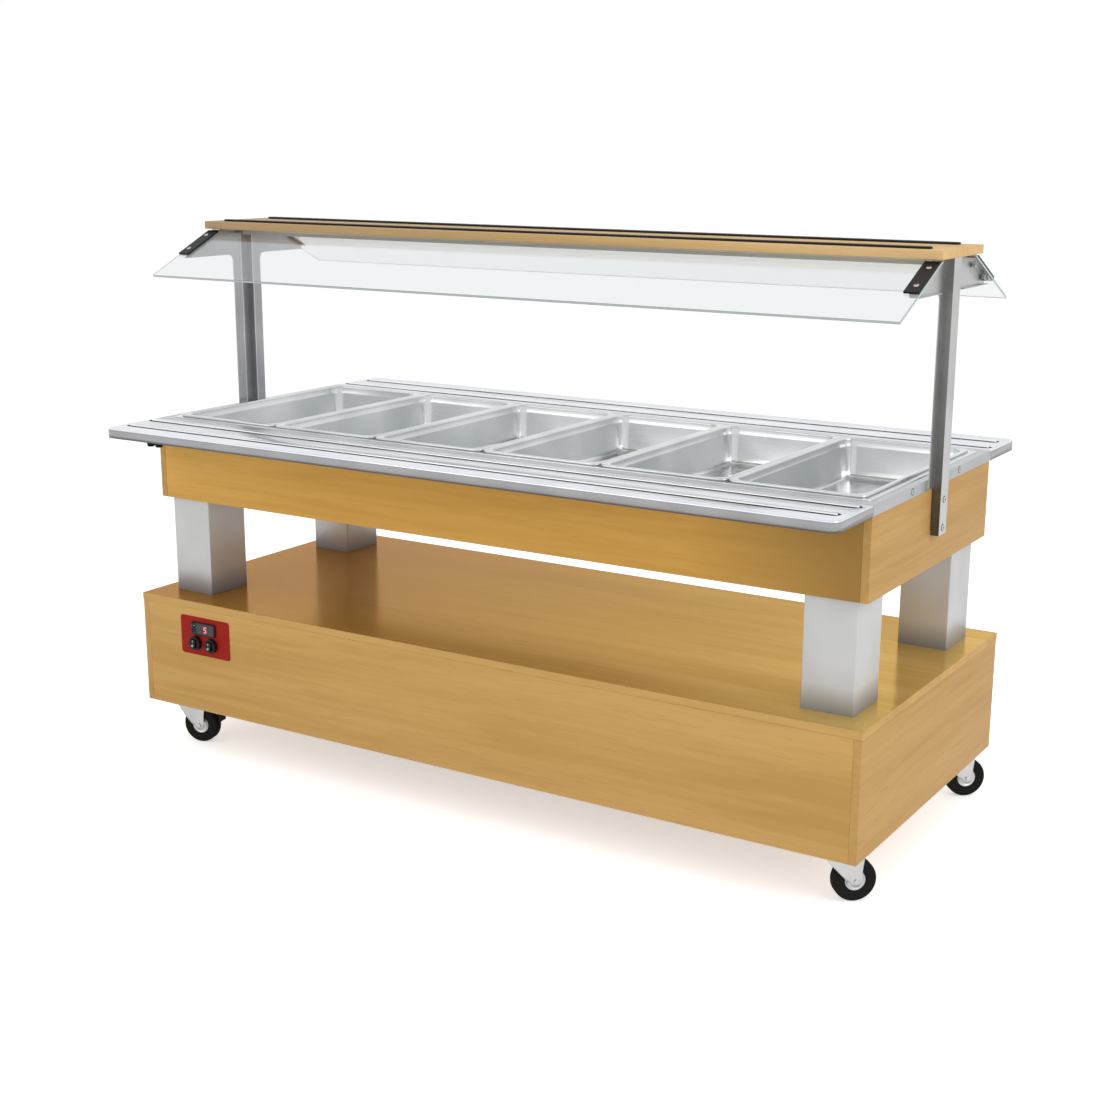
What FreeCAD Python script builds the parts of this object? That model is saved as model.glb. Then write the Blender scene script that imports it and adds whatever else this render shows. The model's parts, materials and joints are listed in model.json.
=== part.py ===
import FreeCAD, Part
import math
import os

from FreeCAD import Vector

# Mobile refrigerated salad bar on casters. All sizes are millimetres.
# Frame: +X runs along the counter to its right end, +Y goes from the front to the back, +Z is up.
# The origin is on the floor under the middle of the counter.

# ---------------------------------------------------------------- driving dimensions
BOARD = 19.0                    # thickness of the wooden panels
SHEET = 2.0                     # folded steel sheet of the top, slides and posts
GAP = 0.3                       # clearance between moving faces
RUN = 0.05                      # radial clearance of a shaft in its bore

BASE_LENGTH = 2085.0            # wooden plinth
BASE_WIDTH = 880.0
BASE_BOTTOM = 125.0             # height of the casters
BASE_TOP = 428.0
BASE_LIP = 1.0                  # the top panel stands over the side panels by this

LEG_LENGTH = 125.0              # columns, along X and along Y
LEG_WIDTH = 140.0
LEG_OUTER_X = 988.0
LEG_OUTER_Y = 360.5
LEG_WALL = 2.0

APRON_LENGTH = 2029.0
APRON_WIDTH = 749.0
APRON_BOTTOM = 687.0

TOP = 900.0                     # counter height
TOP_HALF_LENGTH = 1016.5
TOP_HALF_WIDTH = 376.0          # middle part, without the slides
SKIRT = 25.0                    # turned-down edge

PAN_COUNT = 6
PAN_LENGTH = 660.0              # across the counter, as far as the photo shows the pans to reach
PAN_WIDTH = 325.0               # the gastronorm width
PAN_PITCH = 326.7
PAN_DEPTH = 100.0
PAN_RIM_TOP = 907.0
WELL_HALF_LENGTH = 971.0
WELL_HALF_WIDTH = 321.0
WELL_BOTTOM = 790.0
WELL_SHEET = 1.5
FLANGE_HALF_LENGTH = 996.0
FLANGE_HALF_WIDTH = 343.0

SLIDE_INNER = 377.2             # slide plates, distances from the middle plane
SLIDE_OUTER = 566.0
SLIDE_CORNER = 25.0
BEAD_ROWS = ((411.0, 1000.0), (500.0, 990.0))
HINGE_Y = 384.5
HINGE_Z = 868.0
HINGE_STATIONS = (-955.0, 0.0, 955.0)
HINGE_LEAF_Z = (848.0, 874.0)
BUFFER_X = (860.0, 888.0)       # rubber buffers that meet the apron when a slide hangs down
BUFFER_Y = 530.0
BUFFER_TIP = 859.0
BUFFER_RADIUS = 10.0

POST_PLATE_X = 1016.5           # inner face of the post's plate
POST_OUTER_X = 1036.0
POST_HALF_CHANNEL = 23.0
POST_HALF_STEM = 55.0
POST_FOOT = 767.0
PLATE_FOOT = 877.0
CANOPY_UNDERSIDE = 1386.0
CANOPY_BOARD = 20.0
CANOPY_HALF_LENGTH = 1047.8
CANOPY_HALF_WIDTH = 130.0

GLASS_SLOPE = 25.0              # degrees below the level
GLASS_TOP_Y = 105.5
GLASS_TOP_Z = 1385.5
GLASS_THICK = 6.0
GLASS_LENGTH = 262.0            # down the slope
GLASS_HALF_LENGTH = 1040.0

PLATE_X = (-905.0, -733.0)      # control plate
PLATE_Z = (282.5, 388.0)
SWITCH_X = (-851.0, -795.5)
SWITCH_Z = 316.0

CASTER_X = 965.0
CASTER_Y = 366.0
CASTER_TRAIL = 42.0
CASTER_TURN = 42.0              # degrees from +X to the side the wheels trail
FIRST_CASTER_TURN = 14.0        # the same for the front left one, which stands at another angle
WHEEL_RADIUS = 50.0
WHEEL_WIDTH = 32.0
HUB_RADIUS = 24.0               # inside radius of the tyre
AXLE_RADIUS = 5.0
AXLE_HEAD = (6.0, 4.0)          # radius and height of its riveted ends

CONDENSER_X = -690.0            # middle of the cooling machine behind the vent
CONDENSER_Z = 262.0

BASE_FRONT = BASE_WIDTH / 2 - BASE_LIP
PANEL_TOP = BASE_TOP - BOARD


# ---------------------------------------------------------------- helpers
def box(x0, x1, y0, y1, z0, z1):
    return Part.makeBox(x1 - x0, y1 - y0, z1 - z0, Vector(x0, y0, z0))


def rod(radius, start, end):
    start = Vector(*start)
    along = Vector(*end) - start
    return Part.makeCylinder(radius, along.Length, start, along)


def prism(outline, axis, low, high):
    """A polygon given in the two other axes (in X, Y, Z order), extruded along one axis."""
    place = {
        "X": lambda a, b: Vector(low, a, b),
        "Y": lambda a, b: Vector(a, low, b),
        "Z": lambda a, b: Vector(a, b, low),
    }[axis]
    push = {"X": Vector(1, 0, 0), "Y": Vector(0, 1, 0), "Z": Vector(0, 0, 1)}[axis]
    corners = [place(a, b) for a, b in outline]
    face = Part.Face(Part.makePolygon(corners + corners[:1]))
    return face.extrude(push * (high - low))


def rounded_wire(x0, x1, y0, y1, z, radius):
    """A level rectangle with arcs at its four corners."""
    diagonal = radius * (1 - math.sqrt(0.5))
    corners = ((x1, y0, -1, 1), (x1, y1, -1, -1), (x0, y1, 1, -1), (x0, y0, 1, 1))
    edges = []
    starts = []
    ends = []
    for number, (x, y, to_x, to_y) in enumerate(corners):
        along_x = Vector(x + to_x * radius, y, z)
        along_y = Vector(x, y + to_y * radius, z)
        middle = Vector(x + to_x * diagonal, y + to_y * diagonal, z)
        first, last = (along_x, along_y) if number % 2 == 0 else (along_y, along_x)
        starts.append(first)
        ends.append(last)
        edges.append(Part.Arc(first, middle, last).toShape())
    for number in range(4):
        following = starts[(number + 1) % 4]
        edges.insert(2 * number + 1, Part.LineSegment(ends[number], following).toShape())
    return Part.Wire(edges)


def rounded_plate(x0, x1, y0, y1, z0, z1, radius):
    face = Part.Face(rounded_wire(x0, x1, y0, y1, z0, radius))
    return face.extrude(Vector(0, 0, z1 - z0))


def edges_at(shape, test):
    """The edges whose middle point passes the test."""
    chosen = []
    for edge in shape.Edges:
        middle = edge.valueAt((edge.FirstParameter + edge.LastParameter) / 2)
        if test(middle):
            chosen.append(edge)
    return chosen


def tube(points, radius, bend):
    """A round tube along straight runs that are joined by arcs of one bend radius."""
    points = [Vector(*point) for point in points]
    edges = []
    start = points[0]
    for before, corner, after in zip(points, points[1:], points[2:]):
        back = (before - corner).normalize()
        onward = (after - corner).normalize()
        half = back.getAngle(onward) / 2
        leg = bend / math.tan(half)
        first = corner + back * leg
        last = corner + onward * leg
        inward = (back + onward).normalize()
        middle = corner + inward * (bend / math.sin(half) - bend)
        if (first - start).Length > 1e-6:
            edges.append(Part.LineSegment(start, first).toShape())
        edges.append(Part.Arc(first, middle, last).toShape())
        start = last
    edges.append(Part.LineSegment(start, points[-1]).toShape())
    path = Part.Wire(edges)
    circle = Part.Circle(points[0], points[1] - points[0], radius)
    section = Part.Wire([circle.toShape()])
    swept = path.makePipeShell([section], True, False)
    print("tube length %.0f, volume share %.4f" % (path.Length, swept.Volume / (path.Length * math.pi * radius**2)))
    return swept


def mirror_x(shape):
    return shape.mirror(Vector(0, 0, 0), Vector(1, 0, 0))


def mirror_y(shape):
    return shape.mirror(Vector(0, 0, 0), Vector(0, 1, 0))


def group(solids):
    return Part.makeCompound(solids)


def save(name, shape):
    if not shape.isValid():
        raise ValueError("not valid: " + name)
    shape.exportStep("parts/" + name + ".step")
    print("%-26s %2d solids  %12.0f mm3" % (name, len(shape.Solids), shape.Volume))


# ---------------------------------------------------------------- wooden base
LEG_CENTRE = (LEG_OUTER_X - LEG_LENGTH / 2, LEG_OUTER_Y - LEG_WIDTH / 2)
PIPE_LEG = (-LEG_CENTRE[0], LEG_CENTRE[1])
PIPE_RADIUS = 5.0
PIPE_BEND = 30.0                # bend radius of the pipe's middle line
PIPE_SPACING = 36.0
PIPE_X = (PIPE_LEG[0] - PIPE_SPACING / 2, PIPE_LEG[0] + PIPE_SPACING / 2)
EVAPORATOR_Z = 781.0
VENT_X = (CONDENSER_X - 190.0, CONDENSER_X + 190.0)
VENT_Z = (175.0, 350.0)


def pipe_holes(z0, z1):
    return [rod(PIPE_RADIUS + 3, (x, PIPE_LEG[1], z0), (x, PIPE_LEG[1], z1)) for x in PIPE_X]


def base_top_panel():
    half_length = BASE_LENGTH / 2
    half_width = BASE_WIDTH / 2
    panel = box(-half_length, half_length, -half_width, half_width, PANEL_TOP, BASE_TOP)
    for hole in pipe_holes(PANEL_TOP - 1, BASE_TOP + 1):
        panel = panel.cut(hole)
    return panel


def base_end_panel():
    outer = BASE_LENGTH / 2 - BASE_LIP
    return box(outer - BOARD, outer, -BASE_FRONT, BASE_FRONT, BASE_BOTTOM, PANEL_TOP)


def base_long_panel():
    """The back panel without its vent; it stands between the end panels."""
    half_length = BASE_LENGTH / 2 - BASE_LIP - BOARD
    return box(-half_length, half_length, BASE_FRONT - BOARD, BASE_FRONT, BASE_BOTTOM, PANEL_TOP)


def base_front_panel():
    panel = mirror_y(base_long_panel())
    for x in SWITCH_X:
        panel = panel.cut(rod(11.0, (x, -BASE_FRONT - 1, SWITCH_Z), (x, -BASE_FRONT + BOARD + 1, SWITCH_Z)))
    return panel.cut(box(-858.5, -785.5, -BASE_FRONT - 1, -BASE_FRONT + BOARD + 1, 342.5, 372.5))


def base_back_panel():
    hole = box(VENT_X[0], VENT_X[1], BASE_FRONT - BOARD - 1, BASE_FRONT + 1, VENT_Z[0], VENT_Z[1])
    return base_long_panel().cut(hole)


def base_floor_board():
    half_length = BASE_LENGTH / 2 - BASE_LIP - BOARD
    half_width = BASE_FRONT - BOARD
    return box(-half_length, half_length, -half_width, half_width, BASE_BOTTOM, BASE_BOTTOM + BOARD)


def vent_grille():
    """A flanged frame with sloped louvres that fills the opening of the back panel."""
    x0, x1 = VENT_X
    z0, z1 = VENT_Z
    front = BASE_FRONT - BOARD
    flange = box(x0 - 15, x1 + 15, BASE_FRONT, BASE_FRONT + 1.5, z0 - 15, z1 + 15)
    sleeve = box(x0, x1, front, BASE_FRONT, z0, z1)
    frame = flange.fuse(sleeve).cut(box(x0 + 2, x1 - 2, front - 1, BASE_FRONT + 3, z0 + 2, z1 - 2))
    louvres = []
    count = 9
    pitch = (z1 - z0 - 4) / count
    for number in range(count):
        z = z0 + 2 + number * pitch
        outline = [(front + 1, z + 14), (front + 1, z + 15.5), (BASE_FRONT, z + 3.5), (BASE_FRONT, z + 2)]
        louvres.append(prism(outline, "X", x0 + 1, x1 - 1))
    return frame.multiFuse(louvres).removeSplitter()


# ---------------------------------------------------------------- cooling machine
CONDENSER_BACK = BASE_FRONT - BOARD - 25.0
FAN_RADIUS = 82.0


def compressor():
    x, y, z = (CONDENSER_X - 20, 40.0, BASE_BOTTOM + BOARD)
    can = Part.makeCylinder(75, 90, Vector(x, y, z + 75))
    dome = Part.makeSphere(95, Vector(x, y, z + 107))
    can = can.fuse(dome.common(Part.makeCylinder(75, 200, Vector(x, y, z + 20))))
    plate = box(x - 105, x + 105, y - 80, y + 80, z + 20, z + 24)
    feet = [Part.makeCylinder(14, 20, Vector(x + a * 88, y + b * 63, z)) for a in (-1, 1) for b in (-1, 1)]
    terminal_box = box(x + 70, x + 100, y - 30, y + 30, z + 80, z + 140)
    return can.multiFuse([plate, terminal_box] + feet)


def condenser_unit():
    """Finned block against the vent, a shroud with a ring for the fan, and the motor on three arms."""
    x, z = (CONDENSER_X, CONDENSER_Z)
    half_x, half_z = (150.0, 100.0)
    back = CONDENSER_BACK
    core = box(x - half_x, x + half_x, back - 50, back - 5, z - half_z, z + half_z)
    fins = [
        box(x - half_x + 10 * n, x - half_x + 10 * n + 2, back - 55, back, z - half_z, z + half_z)
        for n in range(1, 30)
    ]
    shroud = box(x - half_x, x + half_x, back - 75, back - 50, z - half_z, z + half_z)
    shroud = shroud.cut(box(x - half_x + 2, x + half_x - 2, back - 73, back - 50, z - half_z + 2, z + half_z - 2))
    ring = rod(FAN_RADIUS + 6, (x, back - 100, z), (x, back - 73, z))
    hole = rod(FAN_RADIUS + 4, (x, back - 110, z), (x, back - 60, z))
    shroud = shroud.fuse(ring).cut(hole)
    motor = rod(30, (x, back - 160, z), (x, back - 112, z))
    shaft = rod(4, (x, back - 112, z), (x, back - 78, z))
    arms = []
    for turn in (90, 210, 330):
        arm = box(28, FAN_RADIUS + 6, -117, -112, -5, 5)
        arm = arm.fuse(box(FAN_RADIUS + 4.5, FAN_RADIUS + 8, -117, -73, -5, 5))
        arm.rotate(Vector(0, 0, 0), Vector(0, 1, 0), turn)
        arm.translate(Vector(x, back, z))
        arms.append(arm)
    foot = box(x - half_x, x + half_x, back - 60, back, BASE_BOTTOM + BOARD, z - half_z)
    return core.multiFuse(fins + [shroud, motor, shaft, foot] + arms)


def condenser_fan():
    """Five twisted blades on a hub that runs on the motor's shaft, inside the shroud's ring."""
    hub = rod(22, (0, -104, 0), (0, -82, 0))
    blades = []
    for number in range(5):
        blade = box(15, FAN_RADIUS - 1, -94, -92, -22, 22)
        blade.rotate(Vector(0, -93, 0), Vector(1, 0, 0), 24)
        blade.rotate(Vector(0, 0, 0), Vector(0, 1, 0), number * 72)
        blades.append(blade)
    disc = rod(FAN_RADIUS, (0, -105, 0), (0, -81, 0))
    fan = hub.multiFuse(blades).common(disc).cut(rod(4 + RUN, (0, -120, 0), (0, -60, 0)))
    fan.translate(Vector(CONDENSER_X, CONDENSER_BACK, CONDENSER_Z))
    return fan


def cooling_pipework():
    """Two copper lines up a hollow column, and the coil under the well between them."""
    bottom = 330.0
    row_ends = (-860.0, 930.0)
    rows = [-210.0 + 2 * PIPE_BEND * number for number in range(8)]
    inlet_x, outlet_x = PIPE_X
    leg_y = PIPE_LEG[1]
    points = [(inlet_x, leg_y, bottom), (inlet_x, leg_y, EVAPORATOR_Z), (inlet_x, rows[0], EVAPORATOR_Z)]
    for number, (y, next_y) in enumerate(zip(rows, rows[1:])):
        turn_x = row_ends[(number + 1) % 2]
        points += [(turn_x, y, EVAPORATOR_Z), (turn_x, next_y, EVAPORATOR_Z)]
    points += [(outlet_x, rows[-1], EVAPORATOR_Z), (outlet_x, leg_y, EVAPORATOR_Z), (outlet_x, leg_y, bottom)]
    return tube(points, PIPE_RADIUS, PIPE_BEND)


# ---------------------------------------------------------------- columns and apron
def leg(side_x, side_y):
    half_x = LEG_LENGTH / 2
    half_y = LEG_WIDTH / 2
    outer = rounded_plate(-half_x, half_x, -half_y, half_y, BASE_TOP, APRON_BOTTOM, 3.0)
    inner = rounded_plate(
        LEG_WALL - half_x, half_x - LEG_WALL, LEG_WALL - half_y, half_y - LEG_WALL,
        BASE_TOP - 1, APRON_BOTTOM + 1, 1.0,
    )
    column = outer.cut(inner)
    column.translate(Vector(side_x * LEG_CENTRE[0], side_y * LEG_CENTRE[1], 0))
    return column


def apron_end_panel():
    half_length = APRON_LENGTH / 2
    half_width = APRON_WIDTH / 2
    return box(half_length - BOARD, half_length, -half_width, half_width, APRON_BOTTOM, TOP - SHEET)


def apron_back_panel():
    inner = APRON_LENGTH / 2 - BOARD
    half_width = APRON_WIDTH / 2
    return box(-inner, inner, half_width - BOARD, half_width, APRON_BOTTOM, TOP - SHEET)


def apron_floor_board():
    inner = APRON_LENGTH / 2 - BOARD
    half_width = APRON_WIDTH / 2 - BOARD
    board = box(-inner, inner, -half_width, half_width, APRON_BOTTOM, APRON_BOTTOM + BOARD)
    for hole in pipe_holes(APRON_BOTTOM - 1, APRON_BOTTOM + BOARD + 1):
        board = board.cut(hole)
    return board


# ---------------------------------------------------------------- counter top, well and pans
def table_top():
    """A sheet with turned-down edges and a cut-out that the well drops into."""
    length, width = (TOP_HALF_LENGTH, TOP_HALF_WIDTH)
    plate = box(-length, length, -width, width, TOP - SHEET, TOP)
    cut_x = WELL_HALF_LENGTH + WELL_SHEET + 2
    cut_y = WELL_HALF_WIDTH + WELL_SHEET + 2
    plate = plate.cut(rounded_plate(-cut_x, cut_x, -cut_y, cut_y, TOP - 5, TOP + 1, 22.0))
    end_skirt = box(length - SHEET, length, -width, width, TOP - SKIRT, TOP - SHEET)
    long_skirt = box(SHEET - length, length - SHEET, APRON_WIDTH / 2, width, TOP - 20, TOP - SHEET)
    skirts = [end_skirt, mirror_x(end_skirt), long_skirt, mirror_y(long_skirt)]
    return plate.multiFuse(skirts).removeSplitter()


def well_tub():
    """An open tub with a flange that lies on the counter's sheet."""
    x, y, wall = (WELL_HALF_LENGTH, WELL_HALF_WIDTH, WELL_SHEET)
    outer = rounded_plate(-x - wall, x + wall, -y - wall, y + wall, WELL_BOTTOM - wall, TOP, 20.0 + wall)
    flange = rounded_plate(
        -FLANGE_HALF_LENGTH, FLANGE_HALF_LENGTH, -FLANGE_HALF_WIDTH, FLANGE_HALF_WIDTH,
        TOP, TOP + wall, 14.0,
    )
    inner = rounded_plate(-x, x, -y, y, WELL_BOTTOM, TOP + 5, 20.0)
    return outer.fuse(flange).cut(inner)


def well_insulation():
    """A foam liner round the tub and under its cooling coil."""
    thick = 18.0
    x = WELL_HALF_LENGTH + WELL_SHEET + 2
    y = WELL_HALF_WIDTH + WELL_SHEET + 2
    pocket_bottom = EVAPORATOR_Z - PIPE_RADIUS - 1
    outer = box(-x - thick, x + thick, -y - thick, y + thick, pocket_bottom - thick, TOP - SHEET - 2)
    liner = outer.cut(box(-x, x, -y, y, pocket_bottom, TOP))
    pipe_y = PIPE_LEG[1]
    for pipe_x in PIPE_X:
        slot_bottom = pocket_bottom - thick - 1
        slot = box(pipe_x - 8, pipe_x + 8, pipe_y - PIPE_BEND, pipe_y + 8, slot_bottom, pocket_bottom + 1)
        liner = liner.cut(slot)
    return liner


def pan_centres():
    first = -PAN_PITCH * (PAN_COUNT - 1) / 2
    return [first + number * PAN_PITCH for number in range(PAN_COUNT)]


def pan_support_bars():
    bars = []
    for left, right in zip(pan_centres(), pan_centres()[1:]):
        middle = (left + right) / 2
        bars.append(box(middle - 10, middle + 10, -WELL_HALF_WIDTH, WELL_HALF_WIDTH, TOP - 4.5, TOP + WELL_SHEET))
    return group(bars)


def pan_form(inset, bottom_lift):
    """The tapered body of a pan, drawn in by the sheet's thickness for its inside."""
    half_x = PAN_WIDTH / 2 - 12.0 - inset
    half_y = PAN_LENGTH / 2 - 12.0 - inset
    bottom = PAN_RIM_TOP - PAN_DEPTH + bottom_lift
    sections = (
        (0.0, PAN_RIM_TOP + (1 if inset else 0), 32.0),
        (7.0, bottom + 9.0, 34.0),
        (16.0, bottom, 28.0),
    )
    wires = [
        rounded_wire(draw - half_x, half_x - draw, draw - half_y, half_y - draw, z, radius - inset)
        for draw, z, radius in sections
    ]
    return Part.makeLoft(wires, True, True)


def gn_pan(centre_x):
    """A flat rim with a turned-down edge round a tapered body."""
    half_x, half_y = (PAN_WIDTH / 2, PAN_LENGTH / 2)
    sheet = 1.2
    seat = TOP + WELL_SHEET + 0.2
    rim = rounded_plate(-half_x, half_x, -half_y, half_y, seat, PAN_RIM_TOP, 18.0)
    rim = rim.makeFillet(2.2, edges_at(rim, lambda p: abs(p.z - PAN_RIM_TOP) < 0.01))
    inner_x, inner_y = (half_x - sheet, half_y - sheet)
    under = rounded_plate(-inner_x, inner_x, -inner_y, inner_y, seat - 1, PAN_RIM_TOP - sheet, 16.8)
    pan = rim.cut(under).fuse(pan_form(0.0, 0.0)).cut(pan_form(sheet, sheet))
    pan.translate(Vector(centre_x, 0, 0))
    return pan


def slide_web(x, lean):
    """A plate that hangs the slide on its hinge pin; lean is the direction away from the bracket."""
    x0, x1 = sorted((x, x + 3 * lean))
    outline = [(379.5, TOP - SHEET), (398.0, TOP - SHEET), (HINGE_Y + 5.5, HINGE_Z), (HINGE_Y - 5.5, HINGE_Z)]
    web = prism(outline, "X", x0, x1).fuse(rod(6.0, (x0, HINGE_Y, HINGE_Z), (x1, HINGE_Y, HINGE_Z)))
    return web.cut(rod(2.5 + RUN, (x0 - 1, HINGE_Y, HINGE_Z), (x1 + 1, HINGE_Y, HINGE_Z)))


def bead(centre_y, half_length):
    """A raised ridge with rounded ends that plates slide on."""
    half_width = 5.0
    ridge = rounded_plate(
        -half_length, half_length, centre_y - half_width, centre_y + half_width,
        TOP - 1, TOP + 3, half_width - 0.01,
    )
    return ridge.makeFillet(2.5, edges_at(ridge, lambda p: abs(p.z - TOP - 3) < 0.01))


def tray_slide_back():
    """The back slide: an inverted tray with webs, beads and two rubber buffers below its right end."""
    length = TOP_HALF_LENGTH
    corner = SLIDE_CORNER

    def tray(inset, low, high):
        half = length - inset
        outer = SLIDE_OUTER - inset
        inner = SLIDE_INNER + inset
        radius = corner - inset
        ends = radius * (1 - math.sqrt(0.5))
        arcs = [
            Part.Arc(
                Vector(half, outer - radius, low),
                Vector(half - ends, outer - ends, low),
                Vector(half - radius, outer, low),
            ).toShape(),
            Part.Arc(
                Vector(radius - half, outer, low),
                Vector(ends - half, outer - ends, low),
                Vector(-half, outer - radius, low),
            ).toShape(),
        ]
        lines = [
            Part.LineSegment(Vector(-half, inner, low), Vector(half, inner, low)).toShape(),
            Part.LineSegment(Vector(half, inner, low), Vector(half, outer - radius, low)).toShape(),
            Part.LineSegment(Vector(half - radius, outer, low), Vector(radius - half, outer, low)).toShape(),
            Part.LineSegment(Vector(-half, outer - radius, low), Vector(-half, inner, low)).toShape(),
        ]
        wire = Part.Wire([lines[0], lines[1], arcs[0], lines[2], arcs[1], lines[3]])
        return Part.Face(wire).extrude(Vector(0, 0, high - low))

    slab = tray(0.0, TOP - SKIRT, TOP)
    top_edges = edges_at(slab, lambda p: abs(p.z - TOP) < 0.01 and (p.y > SLIDE_INNER + 1))
    slab = slab.makeFillet(2.5, top_edges)
    slab = slab.cut(tray(SHEET, TOP - SKIRT - 1, TOP - SHEET))
    # the inner edge is a low lip only, so that it passes the counter when the slide folds
    slab = slab.cut(box(-length - 1, length + 1, SLIDE_INNER - 1, SLIDE_INNER + SHEET, TOP - SKIRT - 1, TOP - 15))
    webs = [slide_web(x + 12.5 * lean, lean) for x in HINGE_STATIONS for lean in (-1, 1)]
    beads = [bead(y, half) for y, half in BEAD_ROWS]
    buffers = [rod(BUFFER_RADIUS, (x, BUFFER_Y, TOP - SHEET), (x, BUFFER_Y, BUFFER_TIP)) for x in BUFFER_X]
    return group([slab.multiFuse(webs + beads)] + buffers)


def slide_hinge_brackets():
    """Three brackets with pins on each long side of the apron."""
    face = APRON_WIDTH / 2
    brackets = []
    for x in HINGE_STATIONS:
        leaf = box(x - 12, x + 12, face, face + 3, *HINGE_LEAF_Z)
        arm = box(x - 12, x + 12, face + 2, HINGE_Y, HINGE_Z - 6, HINGE_Z + 6)
        knuckle = rod(6.0, (x - 12, HINGE_Y, HINGE_Z), (x + 12, HINGE_Y, HINGE_Z))
        pin = rod(2.5, (x - 17, HINGE_Y, HINGE_Z), (x + 17, HINGE_Y, HINGE_Z))
        bracket = leaf.multiFuse([arm, knuckle, pin])
        brackets += [bracket, mirror_y(bracket)]
    return group(brackets)


# ---------------------------------------------------------------- canopy
SLOPE = math.radians(GLASS_SLOPE)


def on_slope(down, above):
    """A point (y, z) that lies down the back glass's slope and above the glass's top face."""
    y = GLASS_TOP_Y + down * math.cos(SLOPE) + above * math.sin(SLOPE)
    z = GLASS_TOP_Z - down * math.sin(SLOPE) + above * math.cos(SLOPE)
    return y, z


def sloped_strip(down, above, x0, x1):
    """A bar whose section lies on the slope: (from, to) down it and (from, to) above the glass."""
    outline = [
        on_slope(down[0], above[0]),
        on_slope(down[1], above[0]),
        on_slope(down[1], above[1]),
        on_slope(down[0], above[1]),
    ]
    return prism(outline, "X", x0, x1)


CLAMP_X = (1005.0, 1040.0)
CLAMP_DOWN = (18.0, 149.0)
CLAMP_THICK = 5.0
CLAMP_SCREW_X = 1024.5
CLAMP_SCREWS = (46.0, 122.0)
FLANGE_SHEET = -GLASS_THICK - SHEET


def slope_hole(radius, down, low=-20.0, high=20.0):
    start = on_slope(down, low)
    end = on_slope(down, high)
    return rod(radius, (CLAMP_SCREW_X, *start), (CLAMP_SCREW_X, *end))


def canopy_post():
    """The right post: one folded sheet with a hat channel, a T head and flanges under the glass."""
    inner, outer = (POST_PLATE_X, POST_OUTER_X)
    half = POST_HALF_CHANNEL
    stem = POST_HALF_STEM
    under_glass = [on_slope(3.0, -GLASS_THICK), on_slope(146.0, -GLASS_THICK)]
    low_z = 1310.0
    head = [
        (half - SHEET, PLATE_FOOT), (stem, PLATE_FOOT), (stem, low_z - 15), (stem + 4.4, low_z - 4.4),
        (stem + 15, low_z), (under_glass[1][0], low_z), under_glass[1], under_glass[0],
        (half - SHEET, CANOPY_UNDERSIDE),
    ]
    wing = prism(head, "X", inner, inner + SHEET)
    flange = sloped_strip((3.0, 146.0), (FLANGE_SHEET, -GLASS_THICK), inner, 1038.0)
    lip = box(inner, inner + 12, stem + 15, under_glass[1][0], low_z, low_z + SHEET)
    side = box(inner, outer, half - SHEET, half, POST_FOOT, CANOPY_UNDERSIDE)
    web = box(outer - SHEET, outer, -half, half, POST_FOOT, CANOPY_UNDERSIDE)
    halves = [wing.multiFuse([flange, lip, side])]
    halves.append(mirror_y(halves[0]))
    post = web.multiFuse(halves)
    for down in CLAMP_SCREWS:
        hole = slope_hole(3.2, down)
        post = post.cut(hole).cut(mirror_y(hole))
    return post.removeSplitter()


def canopy_board():
    x, y = (CANOPY_HALF_LENGTH, CANOPY_HALF_WIDTH)
    board = box(-x, x, -y, y, CANOPY_UNDERSIDE, CANOPY_UNDERSIDE + CANOPY_BOARD)
    return board


def board_strips():
    top = CANOPY_UNDERSIDE + CANOPY_BOARD
    strip = rounded_plate(-1008, 1008, 77.5, 102.5, top, top + 5, 12.4)
    return group([strip, mirror_y(strip)])


LAMP_HALF_LENGTH = 1000.0
LAMP_BOTTOM = CANOPY_UNDERSIDE - 22.0
TUBE_Z = CANOPY_UNDERSIDE - 12.0


def lamp_housing():
    """A channel that is open below, with a holder for the tube at each end."""
    outer = box(-LAMP_HALF_LENGTH, LAMP_HALF_LENGTH, -30, 30, LAMP_BOTTOM, CANOPY_UNDERSIDE)
    housing = outer.cut(box(2 - LAMP_HALF_LENGTH, LAMP_HALF_LENGTH - 2, -28, 28, LAMP_BOTTOM - 1, CANOPY_UNDERSIDE - 2))
    holder = box(LAMP_HALF_LENGTH - 14, LAMP_HALF_LENGTH - 1, -12, 12, LAMP_BOTTOM + 1, CANOPY_UNDERSIDE - 1)
    return housing.multiFuse([holder, mirror_x(holder)])


def lamp_tube():
    reach = LAMP_HALF_LENGTH - 14
    return rod(8.0, (-reach, 0, TUBE_Z), (reach, 0, TUBE_Z))


def glass_back():
    pane = sloped_strip((0.0, GLASS_LENGTH), (-GLASS_THICK, 0.0), -GLASS_HALF_LENGTH, GLASS_HALF_LENGTH)
    for down in CLAMP_SCREWS:
        hole = slope_hole(4.0, down)
        pane = pane.cut(hole).cut(mirror_x(hole))
    return pane


def glass_clamps():
    strip = sloped_strip(CLAMP_DOWN, (0.0, CLAMP_THICK), *CLAMP_X)
    for down in CLAMP_SCREWS:
        strip = strip.cut(slope_hole(3.2, down))
    pair = [strip, mirror_x(strip)]
    return group(pair + [mirror_y(one) for one in pair])


# ---------------------------------------------------------------- screws
CASTER_BOLT_X = 40.0
CASTER_BOLT_Y = 30.0
TRIM_SCREW_Z = 889.0
TRIM_SCREW_HEAD = 6.5           # radius


def clamp_screw(down):
    """A button-head screw through the clamp, the glass and the flange, with its nut."""
    shank = slope_hole(3.0, down, -15.0, CLAMP_THICK)
    head = slope_hole(6.0, down, CLAMP_THICK, CLAMP_THICK + 2.5)
    nut = slope_hole(5.5, down, -14.0, -GLASS_THICK - SHEET)
    return shank.multiFuse([head, nut])


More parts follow.
